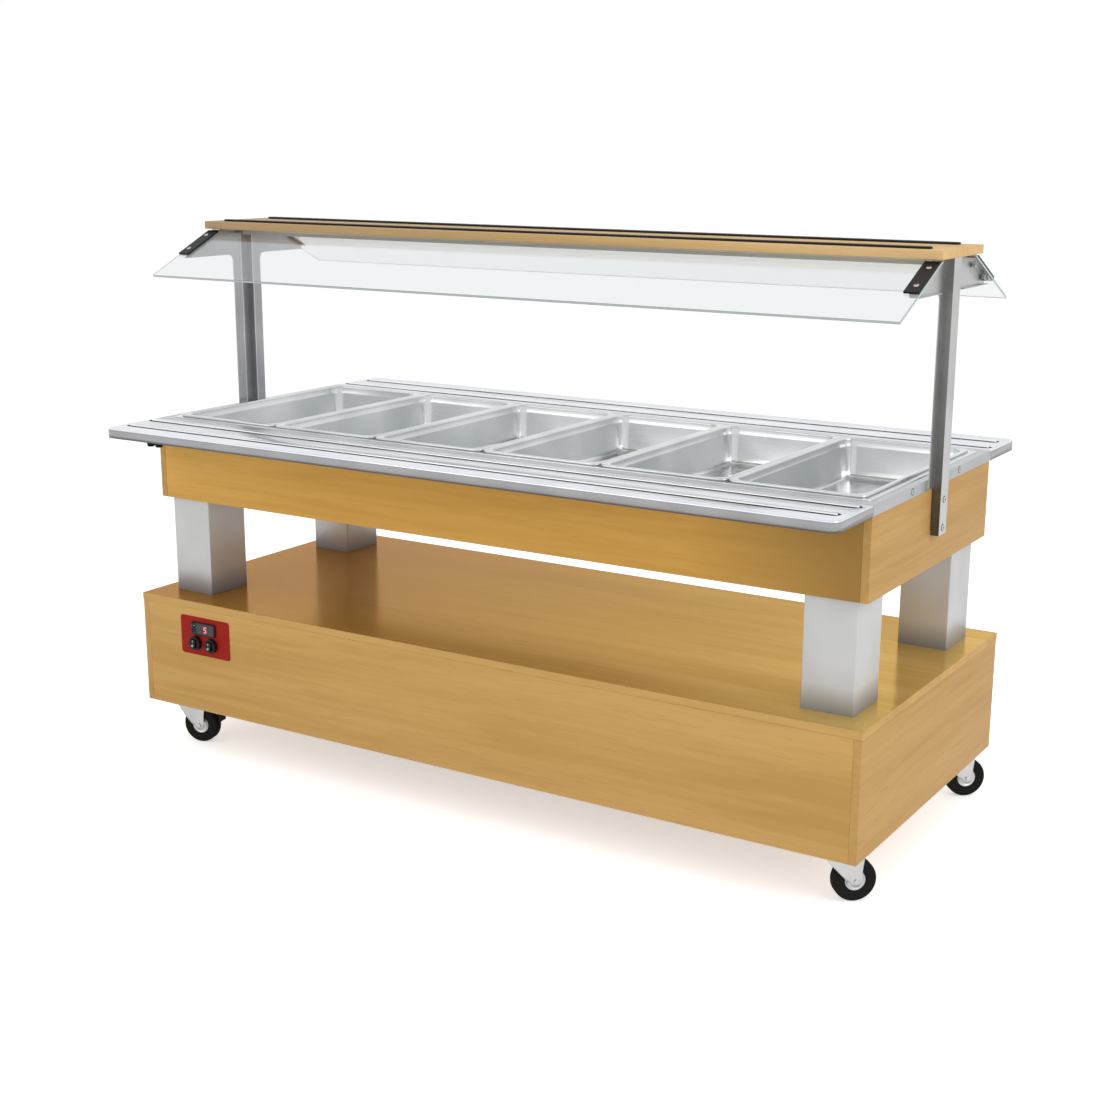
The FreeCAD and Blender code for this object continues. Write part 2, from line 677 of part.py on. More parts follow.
def post_screws():
    """Screws through the channel's web into the apron, with a spacer tube inside the channel."""
    screws = []
    for z in (783.0, 848.0):
        shank = rod(3.0, (POST_OUTER_X - SHEET, 0, z), (APRON_LENGTH / 2, 0, z))
        spacer = rod(6.0, (POST_OUTER_X - SHEET, 0, z), (APRON_LENGTH / 2, 0, z))
        head = rod(6.5, (POST_OUTER_X, 0, z), (POST_OUTER_X + 3, 0, z))
        screws.append(shank.multiFuse([spacer, head]))
    return screws


def trim_screws():
    face, z = (TOP_HALF_LENGTH, TRIM_SCREW_Z)
    return [rod(TRIM_SCREW_HEAD, (face, y, z), (face + 1.8, y, z)) for y in (-150.0, 150.0)]


def caster_bolts():
    bolts = []
    for side_x in (-1, 1):
        for side_y in (-1, 1):
            for a in (-1, 1):
                for b in (-1, 1):
                    x = side_x * CASTER_X + a * CASTER_BOLT_X
                    y = side_y * CASTER_Y + b * CASTER_BOLT_Y
                    bolts.append(rod(6.0, (x, y, BASE_BOTTOM - 7), (x, y, BASE_BOTTOM - 3)))
    return bolts


def assembly_screws():
    right = post_screws() + trim_screws()
    clamp = [clamp_screw(down) for down in CLAMP_SCREWS]
    clamp += [mirror_y(screw) for screw in clamp]
    right += clamp
    return group(right + [mirror_x(screw) for screw in right] + caster_bolts())


# ---------------------------------------------------------------- controls
PLATE_FACE = -BASE_FRONT - 1.5
DISPLAY_X = (-864.0, -780.0)
DISPLAY_Z = (340.0, 375.0)
KEY_X = -853.0
KEYS_Z = (351.0, 364.0)
KEY_SIZE = (9.0, 6.0)
COLLAR_FACE = PLATE_FACE - 11.5
COLLAR_RADIUS = 19.0
ROCKER_PIVOT_Y = COLLAR_FACE + 2.0
ROCKER_TILT = 7.0


def upright_plate(x0, x1, z0, z1, y_front, y_back, radius):
    """A plate that stands in the plane of the front, with rounded corners."""
    plate = rounded_plate(x0, x1, z0, z1, 0, y_back - y_front, radius)
    plate.rotate(Vector(0, 0, 0), Vector(1, 0, 0), 90)
    plate.translate(Vector(0, y_back, 0))
    return plate


def control_plate():
    plate = upright_plate(PLATE_X[0], PLATE_X[1], PLATE_Z[0], PLATE_Z[1], PLATE_FACE, -BASE_FRONT, 8.0)
    plate = plate.cut(box(-858.0, -786.0, PLATE_FACE - 1, -BASE_FRONT + 1, 343.0, 372.0))
    for x in SWITCH_X:
        plate = plate.cut(rod(11.0, (x, PLATE_FACE - 1, SWITCH_Z), (x, -BASE_FRONT + 1, SWITCH_Z)))
    return plate


def thermostat():
    """The controller with its key pockets, and the two round collars that hold the rockers."""
    bezel = upright_plate(DISPLAY_X[0], DISPLAY_X[1], DISPLAY_Z[0], DISPLAY_Z[1], PLATE_FACE - 5, PLATE_FACE, 4.0)
    body = box(-857.5, -786.5, PLATE_FACE - 1, -BASE_FRONT + 55, 343.5, 371.5)
    controller = bezel.fuse(body)
    half_x = KEY_SIZE[0] / 2 + GAP
    half_z = KEY_SIZE[1] / 2 + GAP
    for z in KEYS_Z:
        pocket = box(KEY_X - half_x, KEY_X + half_x, PLATE_FACE - 6, PLATE_FACE - 2, z - half_z, z + half_z)
        controller = controller.cut(pocket)
    collars = []
    for x in SWITCH_X:
        collar = rod(COLLAR_RADIUS, (x, COLLAR_FACE, SWITCH_Z), (x, PLATE_FACE, SWITCH_Z))
        collar = collar.makeFillet(2.0, edges_at(collar, lambda p: abs(p.y - COLLAR_FACE) < 0.01))
        stub = rod(10.5, (x, PLATE_FACE, SWITCH_Z), (x, -BASE_FRONT + 30, SWITCH_Z))
        window = box(x - 8.3, x + 8.3, COLLAR_FACE - 1, COLLAR_FACE + 9, SWITCH_Z - 12.2, SWITCH_Z + 12.2)
        pins = [
            rod(1.5, (x + side * 7.0, ROCKER_PIVOT_Y, SWITCH_Z), (x + side * 10, ROCKER_PIVOT_Y, SWITCH_Z))
            for side in (-1, 1)
        ]
        collars.append(collar.fuse(stub).cut(window).multiFuse(pins))
    return group([controller] + collars)


def thermostat_key(z):
    half_x = KEY_SIZE[0] / 2
    half_z = KEY_SIZE[1] / 2
    return box(KEY_X - half_x, KEY_X + half_x, PLATE_FACE - 6.2, PLATE_FACE - 3.2, z - half_z, z + half_z)


def rocker(x):
    """A rocker with a dished face, tilted so that its upper half is pressed in."""
    outline = [(-8.5, 11.0), (-6.3, 0.0), (-8.5, -11.0), (0.0, -11.4), (3.5, -8.0), (3.5, 8.0), (0.0, 11.4)]
    block = prism(outline, "X", x - 8.0, x + 8.0)
    block = block.cut(rod(1.5 + RUN, (x - 9, 0, 0), (x + 9, 0, 0)))
    block.rotate(Vector(x, 0, 0), Vector(1, 0, 0), -ROCKER_TILT)
    block.translate(Vector(0, ROCKER_PIVOT_Y, SWITCH_Z))
    return block


# ---------------------------------------------------------------- casters
RACE_BOTTOM = 113.0
CROWN_TOP = 112.7
CROWN_BOTTOM = 108.0
KINGPIN = 6.0
ARM_INNER = 19.0
ARM_OUTER = 22.0
PEDAL_PIVOT = (70.0, 101.0)     # along the trail from the swivel axis, and height


def place_caster(shape, side_x, side_y):
    """Turns a shape drawn with its trail along +X, and sets it on its swivel axis."""
    turn = FIRST_CASTER_TURN if (side_x, side_y) == (-1, -1) else CASTER_TURN
    shape.rotate(Vector(0, 0, 0), Vector(0, 0, 1), turn)
    shape.translate(Vector(side_x * CASTER_X, side_y * CASTER_Y, 0))
    return shape


def caster_top_plates():
    """Each corner's screwed plate with its ball race and kingpin."""
    plates = []
    for side_x in (-1, 1):
        for side_y in (-1, 1):
            x, y = (side_x * CASTER_X, side_y * CASTER_Y)
            plate = rounded_plate(x - 52, x + 52, y - 42, y + 42, BASE_BOTTOM - 3, BASE_BOTTOM, 6.0)
            race = Part.makeCone(24, 29, BASE_BOTTOM - 3 - RACE_BOTTOM, Vector(x, y, RACE_BOTTOM))
            kingpin = rod(KINGPIN, (x, y, 101), (x, y, RACE_BOTTOM))
            nut = rod(10.0, (x, y, 101), (x, y, CROWN_BOTTOM - GAP))
            plates.append(plate.multiFuse([race, kingpin, nut]))
    return group(plates)


def arm_outline():
    return [(-24, 110), (-24, 100), (30, 44), (54, 44), (74, 92), (79, 99), (79, 104), (74, 110)]


def caster_fork(side_x, side_y, with_brake):
    """The swivel fork with its axle bolt, and a pin for the pedal where the caster has a brake."""
    outline = arm_outline()
    if not with_brake:
        outline = outline[:4] + [(60, 96), (60, 110)]
    arms = []
    for low in (ARM_INNER, -ARM_OUTER):
        arm = prism(outline, "Y", low, low + ARM_OUTER - ARM_INNER)
        arms.append(arm.fuse(rod(13.5, (CASTER_TRAIL, low, 50), (CASTER_TRAIL, low + ARM_OUTER - ARM_INNER, 50))))
    crown = box(-24, 56, -ARM_OUTER, ARM_OUTER, CROWN_BOTTOM, 111.0)
    disc = rod(30.0, (0, 0, CROWN_BOTTOM), (0, 0, CROWN_TOP))
    bore = rod(KINGPIN + RUN, (0, 0, 90), (0, 0, 120))
    fork = crown.multiFuse([disc] + arms).cut(bore)
    head_radius, head_height = AXLE_HEAD
    axle = rod(AXLE_RADIUS, (CASTER_TRAIL, -ARM_OUTER, 50), (CASTER_TRAIL, ARM_OUTER, 50))
    heads = [
        rod(head_radius, (CASTER_TRAIL, low, 50), (CASTER_TRAIL, low + head_height, 50))
        for low in (ARM_OUTER, -ARM_OUTER - head_height)
    ]
    fork = fork.multiFuse([axle] + heads)
    if with_brake:
        u, z = PEDAL_PIVOT
        fork = fork.fuse(rod(3.0, (u, -ARM_OUTER, z), (u, ARM_OUTER, z)))
    return place_caster(fork, side_x, side_y)


def caster_wheel(side_x, side_y):
    """A tyre with rounded shoulders and a hub that runs on the axle bolt."""
    half = WHEEL_WIDTH / 2
    tyre = rod(WHEEL_RADIUS, (0, -half, 0), (0, half, 0))
    tyre = tyre.makeFillet(7.0, edges_at(tyre, lambda p: abs(abs(p.y) - half) < 0.01))
    tyre = tyre.cut(rod(HUB_RADIUS, (0, -half - 1, 0), (0, half + 1, 0)))
    disc = rod(HUB_RADIUS, (0, -half + 2, 0), (0, half - 2, 0))
    boss = rod(12.0, (0, -half - 2, 0), (0, half + 2, 0))
    bore = rod(AXLE_RADIUS + RUN, (0, -half - 3, 0), (0, half + 3, 0))
    wheel = group([tyre, disc.fuse(boss).cut(bore)])
    wheel.translate(Vector(CASTER_TRAIL, 0, WHEEL_RADIUS))
    return place_caster(wheel, side_x, side_y)


def brake_pedal(side_x, side_y):
    """A pressed-down lever that hooks round the tyre, hung between the fork's ears, with a cam on the tyre."""
    u, z = PEDAL_PIVOT
    half = 15.0
    outline = [
        (u - 4, z + 5), (u + 3, z + 6), (u + 34, z - 8), (u + 37, z - 17),
        (u + 36, z - 38), (u + 31, z - 38), (u + 27, z - 17.5), (u + 6, z - 5),
    ]
    lever = prism(outline, "Y", -half, half)
    sleeve = rod(6.0, (u, -half, z), (u, half, z))
    to_wheel = Vector(CASTER_TRAIL - u, 0, WHEEL_RADIUS - z).normalize() * 2.8
    cam = rod(5.0, (u + to_wheel.x, -half, z + to_wheel.z), (u + to_wheel.x, half, z + to_wheel.z))
    pedal = lever.multiFuse([sleeve, cam]).cut(rod(3.0 + RUN, (u, -half - 1, z), (u, half + 1, z)))
    return place_caster(pedal, side_x, side_y)


# ---------------------------------------------------------------- build
CORNERS = (
    ("front_left", -1, -1),
    ("front_right", 1, -1),
    ("back_left", -1, 1),
    ("back_right", 1, 1),
)


def main():
    os.makedirs("parts", exist_ok=True)

    save("base_top_panel", base_top_panel())
    save("base_front_panel", base_front_panel())
    save("base_back_panel", base_back_panel())
    save("base_end_panel_right", base_end_panel())
    save("base_end_panel_left", mirror_x(base_end_panel()))
    save("base_floor_board", base_floor_board())
    save("vent_grille", vent_grille())

    save("compressor", compressor())
    save("condenser_unit", condenser_unit())
    save("condenser_fan", condenser_fan())
    save("cooling_pipework", cooling_pipework())

    save("apron_end_panel_right", apron_end_panel())
    save("apron_end_panel_left", mirror_x(apron_end_panel()))
    save("apron_back_panel", apron_back_panel())
    save("apron_front_panel", mirror_y(apron_back_panel()))
    save("apron_floor_board", apron_floor_board())

    save("table_top", table_top())
    save("well_tub", well_tub())
    save("well_insulation", well_insulation())
    save("pan_support_bars", pan_support_bars())
    for number, centre_x in enumerate(pan_centres(), start=1):
        save("gn_pan_%d" % number, gn_pan(centre_x))

    slide = tray_slide_back()
    save("tray_slide_back", slide)
    slide.rotate(Vector(0, 0, 0), Vector(0, 0, 1), 180)
    save("tray_slide_front", slide)
    save("slide_hinge_brackets", slide_hinge_brackets())

    save("canopy_post_right", canopy_post())
    save("canopy_post_left", mirror_x(canopy_post()))
    save("canopy_board", canopy_board())
    save("board_strips", board_strips())
    save("lamp_housing", lamp_housing())
    save("lamp_tube", lamp_tube())
    save("glass_back", glass_back())
    save("glass_front", mirror_y(glass_back()))
    save("glass_clamps", glass_clamps())
    save("assembly_screws", assembly_screws())

    save("control_plate", control_plate())
    save("thermostat", thermostat())
    save("thermostat_key_down", thermostat_key(KEYS_Z[0]))
    save("thermostat_key_up", thermostat_key(KEYS_Z[1]))
    save("light_switch_rocker", rocker(SWITCH_X[0]))
    save("cooling_switch_rocker", rocker(SWITCH_X[1]))

    save("caster_top_plates", caster_top_plates())
    for name, side_x, side_y in CORNERS:
        save("leg_" + name, leg(side_x, side_y))
        save("caster_fork_" + name, caster_fork(side_x, side_y, side_x < 0))
        save("caster_wheel_" + name, caster_wheel(side_x, side_y))
        if side_x < 0:
            save("brake_pedal_" + name, brake_pedal(side_x, side_y))


main()
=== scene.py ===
# %% [markdown]
# # A mobile salad bar
# A long wooden plinth on casters, four steel columns, a wooden apron round a cooled well, a stainless
# counter with two tray slides, and a glass canopy on two folded steel posts. A frame made in CAD holds
# every piece at its real size; here each gets its finish, or a finer shape with soft edges and folds.

# %% Load the frame
import json
import math

import bmesh
import bpy
import numpy as np
from mathutils import Matrix, Vector

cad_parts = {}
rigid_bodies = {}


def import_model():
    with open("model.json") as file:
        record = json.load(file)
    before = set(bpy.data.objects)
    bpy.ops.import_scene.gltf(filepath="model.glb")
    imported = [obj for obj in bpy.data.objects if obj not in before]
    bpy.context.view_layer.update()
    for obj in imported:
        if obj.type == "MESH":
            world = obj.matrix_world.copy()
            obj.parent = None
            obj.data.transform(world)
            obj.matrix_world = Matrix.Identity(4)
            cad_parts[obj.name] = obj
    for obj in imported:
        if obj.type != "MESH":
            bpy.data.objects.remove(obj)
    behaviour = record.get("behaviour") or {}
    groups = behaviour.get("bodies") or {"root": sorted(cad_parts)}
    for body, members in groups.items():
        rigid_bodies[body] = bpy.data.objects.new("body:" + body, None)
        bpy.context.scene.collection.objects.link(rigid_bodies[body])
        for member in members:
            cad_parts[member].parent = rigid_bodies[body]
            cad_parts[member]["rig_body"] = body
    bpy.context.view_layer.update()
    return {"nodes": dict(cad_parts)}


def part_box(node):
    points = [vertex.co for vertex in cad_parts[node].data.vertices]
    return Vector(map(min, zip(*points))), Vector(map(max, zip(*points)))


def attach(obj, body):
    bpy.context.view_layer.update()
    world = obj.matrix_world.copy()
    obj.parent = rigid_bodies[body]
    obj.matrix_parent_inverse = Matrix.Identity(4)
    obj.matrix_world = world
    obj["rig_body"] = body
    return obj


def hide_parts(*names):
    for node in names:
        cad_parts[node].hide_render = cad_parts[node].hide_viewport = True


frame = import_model()


# %% [markdown]
# ## Moves, turns and the camera
# A 4 x 4 matrix carries a shape to its place, and a chain of them acts from right to left. The camera
# stands a little above the counter's top and well to one side, so that the front, one end and the top
# all show. A place, three angles and a lens can be matched to the long straight edges one by one.


# %% Placing helpers
def linked(name, data):
    """A new object with its data, linked to the scene."""
    thing = bpy.data.objects.new(name, data)
    bpy.context.scene.collection.objects.link(thing)
    return thing


def moved(x, y, z):
    """The matrix of a move."""
    return Matrix.Translation((x, y, z))


def spun(degrees, axis):
    """The matrix of a turn round an axis through the origin."""
    return Matrix.Rotation(math.radians(degrees), 4, axis)


def mirrored(x=1, y=1):
    """The matrix of a mirror: an axis with -1 is turned round."""
    return Matrix.Diagonal((x, y, 1, 1))


# %% Camera
CAMERA_PLACE = (2.2866, -3.6346, 1.6407)
CAMERA_TURN = 31.95  # degrees to the left of the counter's back
CAMERA_DOWN = 14.04  # degrees below the level
CAMERA_ROLL = 0.222
LENS = 54.764  # mm, on a sensor 36 mm wide

camera_data = bpy.data.cameras.new("camera")
camera_data.lens = LENS
camera_data.sensor_width = 36.0
camera = linked("camera", camera_data)
aim = spun(CAMERA_TURN, "Z") @ spun(90 - CAMERA_DOWN, "X") @ spun(CAMERA_ROLL, "Z")
camera.matrix_world = moved(*CAMERA_PLACE) @ aim
bpy.context.scene.camera = camera
bpy.context.scene.view_settings.view_transform = "Standard"
print("camera looks along", tuple(round(v, 3) for v in camera.matrix_world.to_3x3() @ Vector((0, 0, -1))))

# %% [markdown]
# ## Nodes and colours
# Every finish is a small network of shader nodes. One function adds a node, sets its inputs and links
# what it is given; the others name the networks that come back in every recipe. Colours are sRGB hex
# values, turned to the linear light of the shader.


# %% Helpers for materials
def colour(code):
    """A hex colour as linear RGBA: a channel c becomes ((c + 0.055) / 1.055) to the power 2.4."""
    channels = [int(code[place:place + 2], 16) / 255 for place in (1, 3, 5)]
    linear = [c / 12.92 if c <= 0.04045 else ((c + 0.055) / 1.055) ** 2.4 for c in channels]
    return (*linear, 1.0)


def add(tree, kind, inputs=None, **settings):
    """Adds a shader node with its settings; an input that is an output is linked, any other is set."""
    node = tree.nodes.new("ShaderNode" + kind)
    for name, value in settings.items():
        setattr(node, name, value)
    for socket, value in (inputs or {}).items():
        if isinstance(value, bpy.types.NodeSocket):
            tree.links.new(value, node.inputs[socket])
        else:
            node.inputs[socket].default_value = value
    return node


def new_material(name, **shader_inputs):
    """A material with one Principled shader; returns it with its node tree and the shader."""
    material = bpy.data.materials.new(name)
    material.use_nodes = True
    tree = material.node_tree
    tree.nodes.clear()
    shader = add(tree, "BsdfPrincipled", shader_inputs)
    add(tree, "OutputMaterial", {"Surface": shader.outputs["BSDF"]})
    return material, tree, shader


def object_place(tree):
    """The place in the piece's own coordinates, in metres."""
    return add(tree, "TexCoord").outputs["Object"]


def ranged(tree, value, to_low, to_high, from_low=0.0, from_high=1.0):
    """Maps a value from one range to another and holds it there."""
    spans = {"From Min": from_low, "From Max": from_high, "To Min": to_low, "To Max": to_high}
    return add(tree, "MapRange", {"Value": value, **spans}).outputs["Result"]


def blended(tree, share, first, second):
    """Mixes two colours by the share of the second."""
    pair = {"Factor": share, "A": first, "B": second}
    return add(tree, "Mix", pair, data_type="RGBA").outputs["Result"]


# %% Helpers for patterns
def toned(tree, value, *stops):
    """Turns a value to a colour by a ramp; the stops are pairs of place and hex colour."""
    ramp = add(tree, "ValToRGB", {"Fac": value})
    elements = ramp.color_ramp.elements
    while len(elements) < len(stops):
        elements.new(0.5)
    for element, (place, code) in zip(elements, stops):
        element.position = place
        element.color = colour(code)
    return ramp.outputs["Color"]


def painted_fade(tree, place, axis, low, high, tint, rest):
    """Paints shade and dark reflections: a tint at low along one axis fades into another colour by high; both
    ends are in metres.
    """
    parts = add(tree, "SeparateXYZ", {"Vector": place})
    return blended(tree, ranged(tree, parts.outputs[axis], 0.0, 1.0, low, high), colour(tint), rest)


def soft_noise(tree, place, size, detail):
    """A noise whose features have a size in metres."""
    noise = {"Vector": place, "Scale": 1 / size, "Detail": detail}
    return add(tree, "TexNoise", noise).outputs["Fac"]


def stretched_noise(tree, place, axis, width, stretch, detail):
    """A noise whose features have a width in metres and are longer by a factor along one axis."""
    scale = [1 / width] * 3
    scale[axis] = 1 / (width * stretch)
    mapped = add(tree, "Mapping", {"Vector": place, "Scale": scale})
    return soft_noise(tree, mapped.outputs["Vector"], 1.0, detail)


def surfaced(tree, shader, tone, height, strength, depth, roughness=None):
    """Links a tone, a bump made from a height, and a roughness if one is given, to the shader."""
    bump = add(tree, "Bump", {"Height": height, "Strength": strength, "Distance": depth})
    tree.links.new(tone, shader.inputs["Base Color"])
    tree.links.new(bump.outputs["Normal"], shader.inputs["Normal"])
    if roughness is not None:
        tree.links.new(roughness, shader.inputs["Roughness"])


print("mid grey #808080 in linear light:", round(colour("#808080")[0], 3))

# %% [markdown]
# ## Lacquered oak veneer
# Slicing a log leaves slow waves of tone, finer growth lines and long dark pores, all along the grain.
# Three noises stretched along one axis give those. Real pores are 0.3 mm wide, too fine to show in a
# picture of the whole counter, so they are drawn 2.2 mm wide. The lacquer is the shader's clear coat.

# %% Wood
TONE_WIDTH = 0.120  # metres across the grain
LINE_WIDTH = 0.014
PORE_WIDTH = 0.0022
GROWTH = ((TONE_WIDTH, 9.0, 2.0), (LINE_WIDTH, 22.0, 3.0), (PORE_WIDTH, 30.0, 2.0))


def oak_veneer(name, grain, light, middle, dark, sheen=0.0, roughness=0.5, end=None):
    """Grain is the axis (0, 1 or 2) that the fibres follow. Sheen is the share of light that polished fibres
    mirror in the wood's own colour. An end, given as (from, to, tint), is painted shade: a darker tint at the
    first place that fades out along X by the second."""
    lacquer = {"Coat Weight": 0.06, "Coat Roughness": roughness / 2, "Coat IOR": 1.35}
    fibres = {"Roughness": roughness, "Specular IOR Level": 0.12, "Specular Tint": colour(dark)}
    material, tree, shader = new_material(name, Metallic=sheen, **fibres, **lacquer)
    place = object_place(tree)
    tone, lines, pores = (stretched_noise(tree, place, grain, *layer) for layer in GROWTH)
    mixed = add(tree, "Mix", {"Factor": 0.35, "A": tone, "B": lines}).outputs["Result"]
    waves = toned(tree, mixed, (0.38, dark), (0.50, middle), (0.62, light))
    tinted = blended(tree, ranged(tree, pores, 0.0, 0.9, 0.56, 0.76), waves, colour(dark))
    if end:
        tinted = painted_fade(tree, place, "X", *end, tinted)
    surfaced(tree, shader, tinted, pores, 0.10, 0.0005)
    return material


# Painted shade: a darker tint towards the apron's right end, the shelf's left end and the board's left end.
APRON_PAINTED_SHADE = (0.97, 0.58, "#AA8348")
SHELF_PAINTED_SHADE = (-0.95, 0.75, "#B98420")
BOARD_PAINTED_SHADE = (-1.1, 0.7, "#BC9E76")
veneer_front = oak_veneer("oak_veneer_front", 0, "#D8AD6C", "#D1A766", "#C89D5C")
veneer_end = oak_veneer("oak_veneer_end", 1, "#D0A669", "#C99F62", "#C09558")
veneer_apron = oak_veneer("oak_veneer_apron", 0, "#E6B460", "#DFAC59", "#D5A250", end=APRON_PAINTED_SHADE)
veneer_under = oak_veneer("oak_veneer_underside", 0, "#D8B279", "#D2AC72", "#C8A269")
veneer_shelf = oak_veneer("oak_veneer_shelf", 0, "#F3D288", "#ECC97E", "#E0BB6E", 0.5, 0.17, SHELF_PAINTED_SHADE)
veneer_board = oak_veneer("oak_veneer_board", 0, "#E9C48C", "#E2BC80", "#D8B173", end=BOARD_PAINTED_SHADE)
print("pores drawn", PORE_WIDTH * 1000, "mm wide")

# %% [markdown]
# ## Brushed stainless steel
# An abrasive belt leaves fine parallel scratches, which smear reflections across themselves, and wide
# soft patches where it pressed. A stretched noise varies the roughness and tilts the surface.
# Scratches are about 0.1 mm apart; they are drawn 1.5 mm apart so that they show.

# %% Steel
SCRATCH_WIDTH = 0.0015  # metres
SCRATCH_STRETCH = 90.0
PATCH_SIZE = 0.14


def brushed(name, brushing, tint, patch_tint, roughness, spread, painted_foot=None, polish=1.0):
    """Brushing is the axis that the scratches follow; the patches drift between two tints. A painted foot,
    given as (low, high, tint), paints shade and dark reflections near the bottom: a third tint at the height
    low that fades out by the height high. Polish below 1 leaves a share of the light scattered, as a
    bead-blasted sheet does."""
    material, tree, shader = new_material(name, Metallic=polish)
    place = object_place(tree)
    scratches = stretched_noise(tree, place, brushing, SCRATCH_WIDTH, SCRATCH_STRETCH, 3.0)
    rough = ranged(tree, scratches, roughness - spread, roughness + spread, 0.3, 0.7)
    tinted = toned(tree, soft_noise(tree, place, PATCH_SIZE, 1.0), (0.35, patch_tint), (0.62, tint))
    if painted_foot:
        tinted = painted_fade(tree, place, "Z", *painted_foot, tinted)
    surfaced(tree, shader, tinted, scratches, 0.08, 0.0003, rough)
    return material


# Painted dark bands at the bottom: shade on the skirts' lower edge and up the posts' sides, a blue-grey
# reflection at the columns' feet.
SKIRT_PAINTED_SHADE = (0.875, 0.881, "#707173")
COLUMN_PAINTED_REFLECTION = (0.428, 0.490, "#8A94A8")
POST_PAINTED_SHADE = (0.767, 1.15, "#5C5D5B")
counter_steel = brushed("stainless_counter", 0, "#EBEDF2", "#E3E6EC", 0.30, 0.05)
# The ridges' brighter steel is a painted highlight.
ridge_highlight_steel = brushed("stainless_ridges_painted_highlight", 0, "#F6F7F9", "#EEF0F3", 0.22, 0.04)
# The skirts' steel is painted darker than the top, as shade.
skirt_shaded_steel = brushed("stainless_slide_skirts_painted_shade", 0, "#A9AAAC", "#9FA0A2", 0.26, 0.05, SKIRT_PAINTED_SHADE)
# The counter sheet's steel is darker than the slides': a painted dark reflection.
counter_dark_reflection_steel = brushed("stainless_counter_painted_reflection", 1, "#BDBEC0", "#B2B3B5", 0.30, 0.05)
pan_steel = brushed("stainless_pan", 0, "#DADCDD", "#CDD0D2", 0.24, 0.04)
column_steel = brushed("stainless_column", 2, "#D1D2D2", "#C6C8C8", 0.36, 0.06, COLUMN_PAINTED_REFLECTION, 0.3)
post_steel = brushed("stainless_post", 2, "#CDCECD", "#BFC0BF", 0.30, 0.06)
# Darker copies of the post's steel, for its channel and its inner faces, are painted shade.
post_side_shaded_steel = brushed("stainless_post_sides_painted_shade", 2, "#8A8B88", "#7A7B79", 0.34, 0.06, POST_PAINTED_SHADE)
post_inner_shaded_steel = brushed("stainless_post_inner_painted_shade", 2, "#B2B2B4", "#A6A6A9", 0.34, 0.06)
post_groove_shaded_steel = brushed("stainless_post_groove_painted_shade", 2, "#B0B0B4", "#A4A4A8", 0.40, 0.06, polish=0.4)
# A bright steel for the posts' edges and folds is a painted highlight.
fold_highlight_steel = brushed("stainless_fold_painted_highlight", 2, "#F4F4F4", "#ECECEC", 0.30, 0.04, polish=0.4)
zinc_steel = brushed("zinc_plated_steel", 2, "#D9DBDC", "#C6C8CA", 0.36, 0.05)
screw_steel = brushed("bright_screw_steel", 0, "#C4C4C2", "#B2B2B0", 0.22, 0.03)
print("scratches drawn", SCRATCH_WIDTH * 1000, "mm apart")

# %% [markdown]
# ## Plastic, rubber, paint and small metals
# Moulded plastic has a fine grain, rubber is dull, enamel ripples slightly and drawn copper has a soft
# sheen. In each of them one noise moves the tone, the roughness and the bump together.


# %% Grained finishes
def grained(name, tone, second_tone, roughness, grain_mm, bump_strength=0.1, **shader_inputs):
    """One noise, with a grain size in millimetres, drives two tones, the roughness and the bump."""
    material, tree, shader = new_material(name, **shader_inputs)
    height = soft_noise(tree, object_place(tree), grain_mm / 1000, 2.0)
    tinted = toned(tree, height, (0.35, second_tone), (0.65, tone))
    rough = ranged(tree, height, roughness + 0.06, roughness - 0.06)
    surfaced(tree, shader, tinted, height, bump_strength, grain_mm / 4000, rough)
    return material


DULL = {"Specular IOR Level": 0.15}
SATIN = {"Specular IOR Level": 0.25}
black_bar = grained("black_anodised_aluminium", "#272624", "#1E1D1C", 0.45, 1.5, **DULL)
black_abs = grained("black_moulded_abs", "#161617", "#0F0F10", 0.38, 0.8, **SATIN)
key_abs = grained("grey_key_abs", "#2F3133", "#27292B", 0.5, 0.8, **DULL)
red_print = grained("red_printed_polyester", "#A41A0C", "#98160A", 0.45, 2.5, 0.05, **DULL)
tyre_rubber = grained("black_tyre_rubber", "#20201E", "#181817", 0.8, 2.0, 0.2, **DULL)
pedal_nylon = grained("black_pedal_nylon", "#222224", "#19191B", 0.5, 1.2, **DULL)
black_enamel = grained("black_stove_enamel", "#1C1D1E", "#131415", 0.35, 3.0)
white_enamel = grained("white_stove_enamel", "#E9E9E4", "#DEDED9", 0.35, 3.0)
liner_foam = grained("cream_liner_foam", "#DDD3AE", "#C8BC92", 0.9, 2.0, 0.4)
drawn_copper = grained("drawn_copper", "#C98A5E", "#B0734A", 0.28, 4.0, Metallic=1.0)
fin_aluminium = grained("fin_aluminium", "#C9CBCD", "#B4B7BA", 0.35, 3.0, Metallic=1.0)
# A dark finish for thin pieces that paint shade, beside the ridges and round screw heads.
painted_shade_black = grained("painted_shade_dark", "#2E2F35", "#222328", 0.7, 1.0, **DULL)
ground_edge = grained("ground_glass_edge", "#C6D2CC", "#B9C7C0", 0.55, 1.5)
mark_white = grained("white_printed_mark", "#F4F4F2", "#EAEAE8", 0.5, 1.0, 0.02)
# A grey finish for a small mark and for a painted highlight on the controller's bezel.
grey_mark_and_highlight = grained("grey_mark_and_painted_highlight", "#8A8D90", "#7C7F82", 0.5, 1.0, 0.02)
window_dark = grained("smoked_display_window", "#33363A", "#2A2C30", 0.14, 3.0, 0.02)

# %% [markdown]
# ## Clear glass and light
# Float glass is seen by its edges and faint reflections. Light that only casts a shadow passes nearly
# straight through a flat pane, so for shadow rays alone the glass turns almost transparent; otherwise
# the panes would darken everything below them.

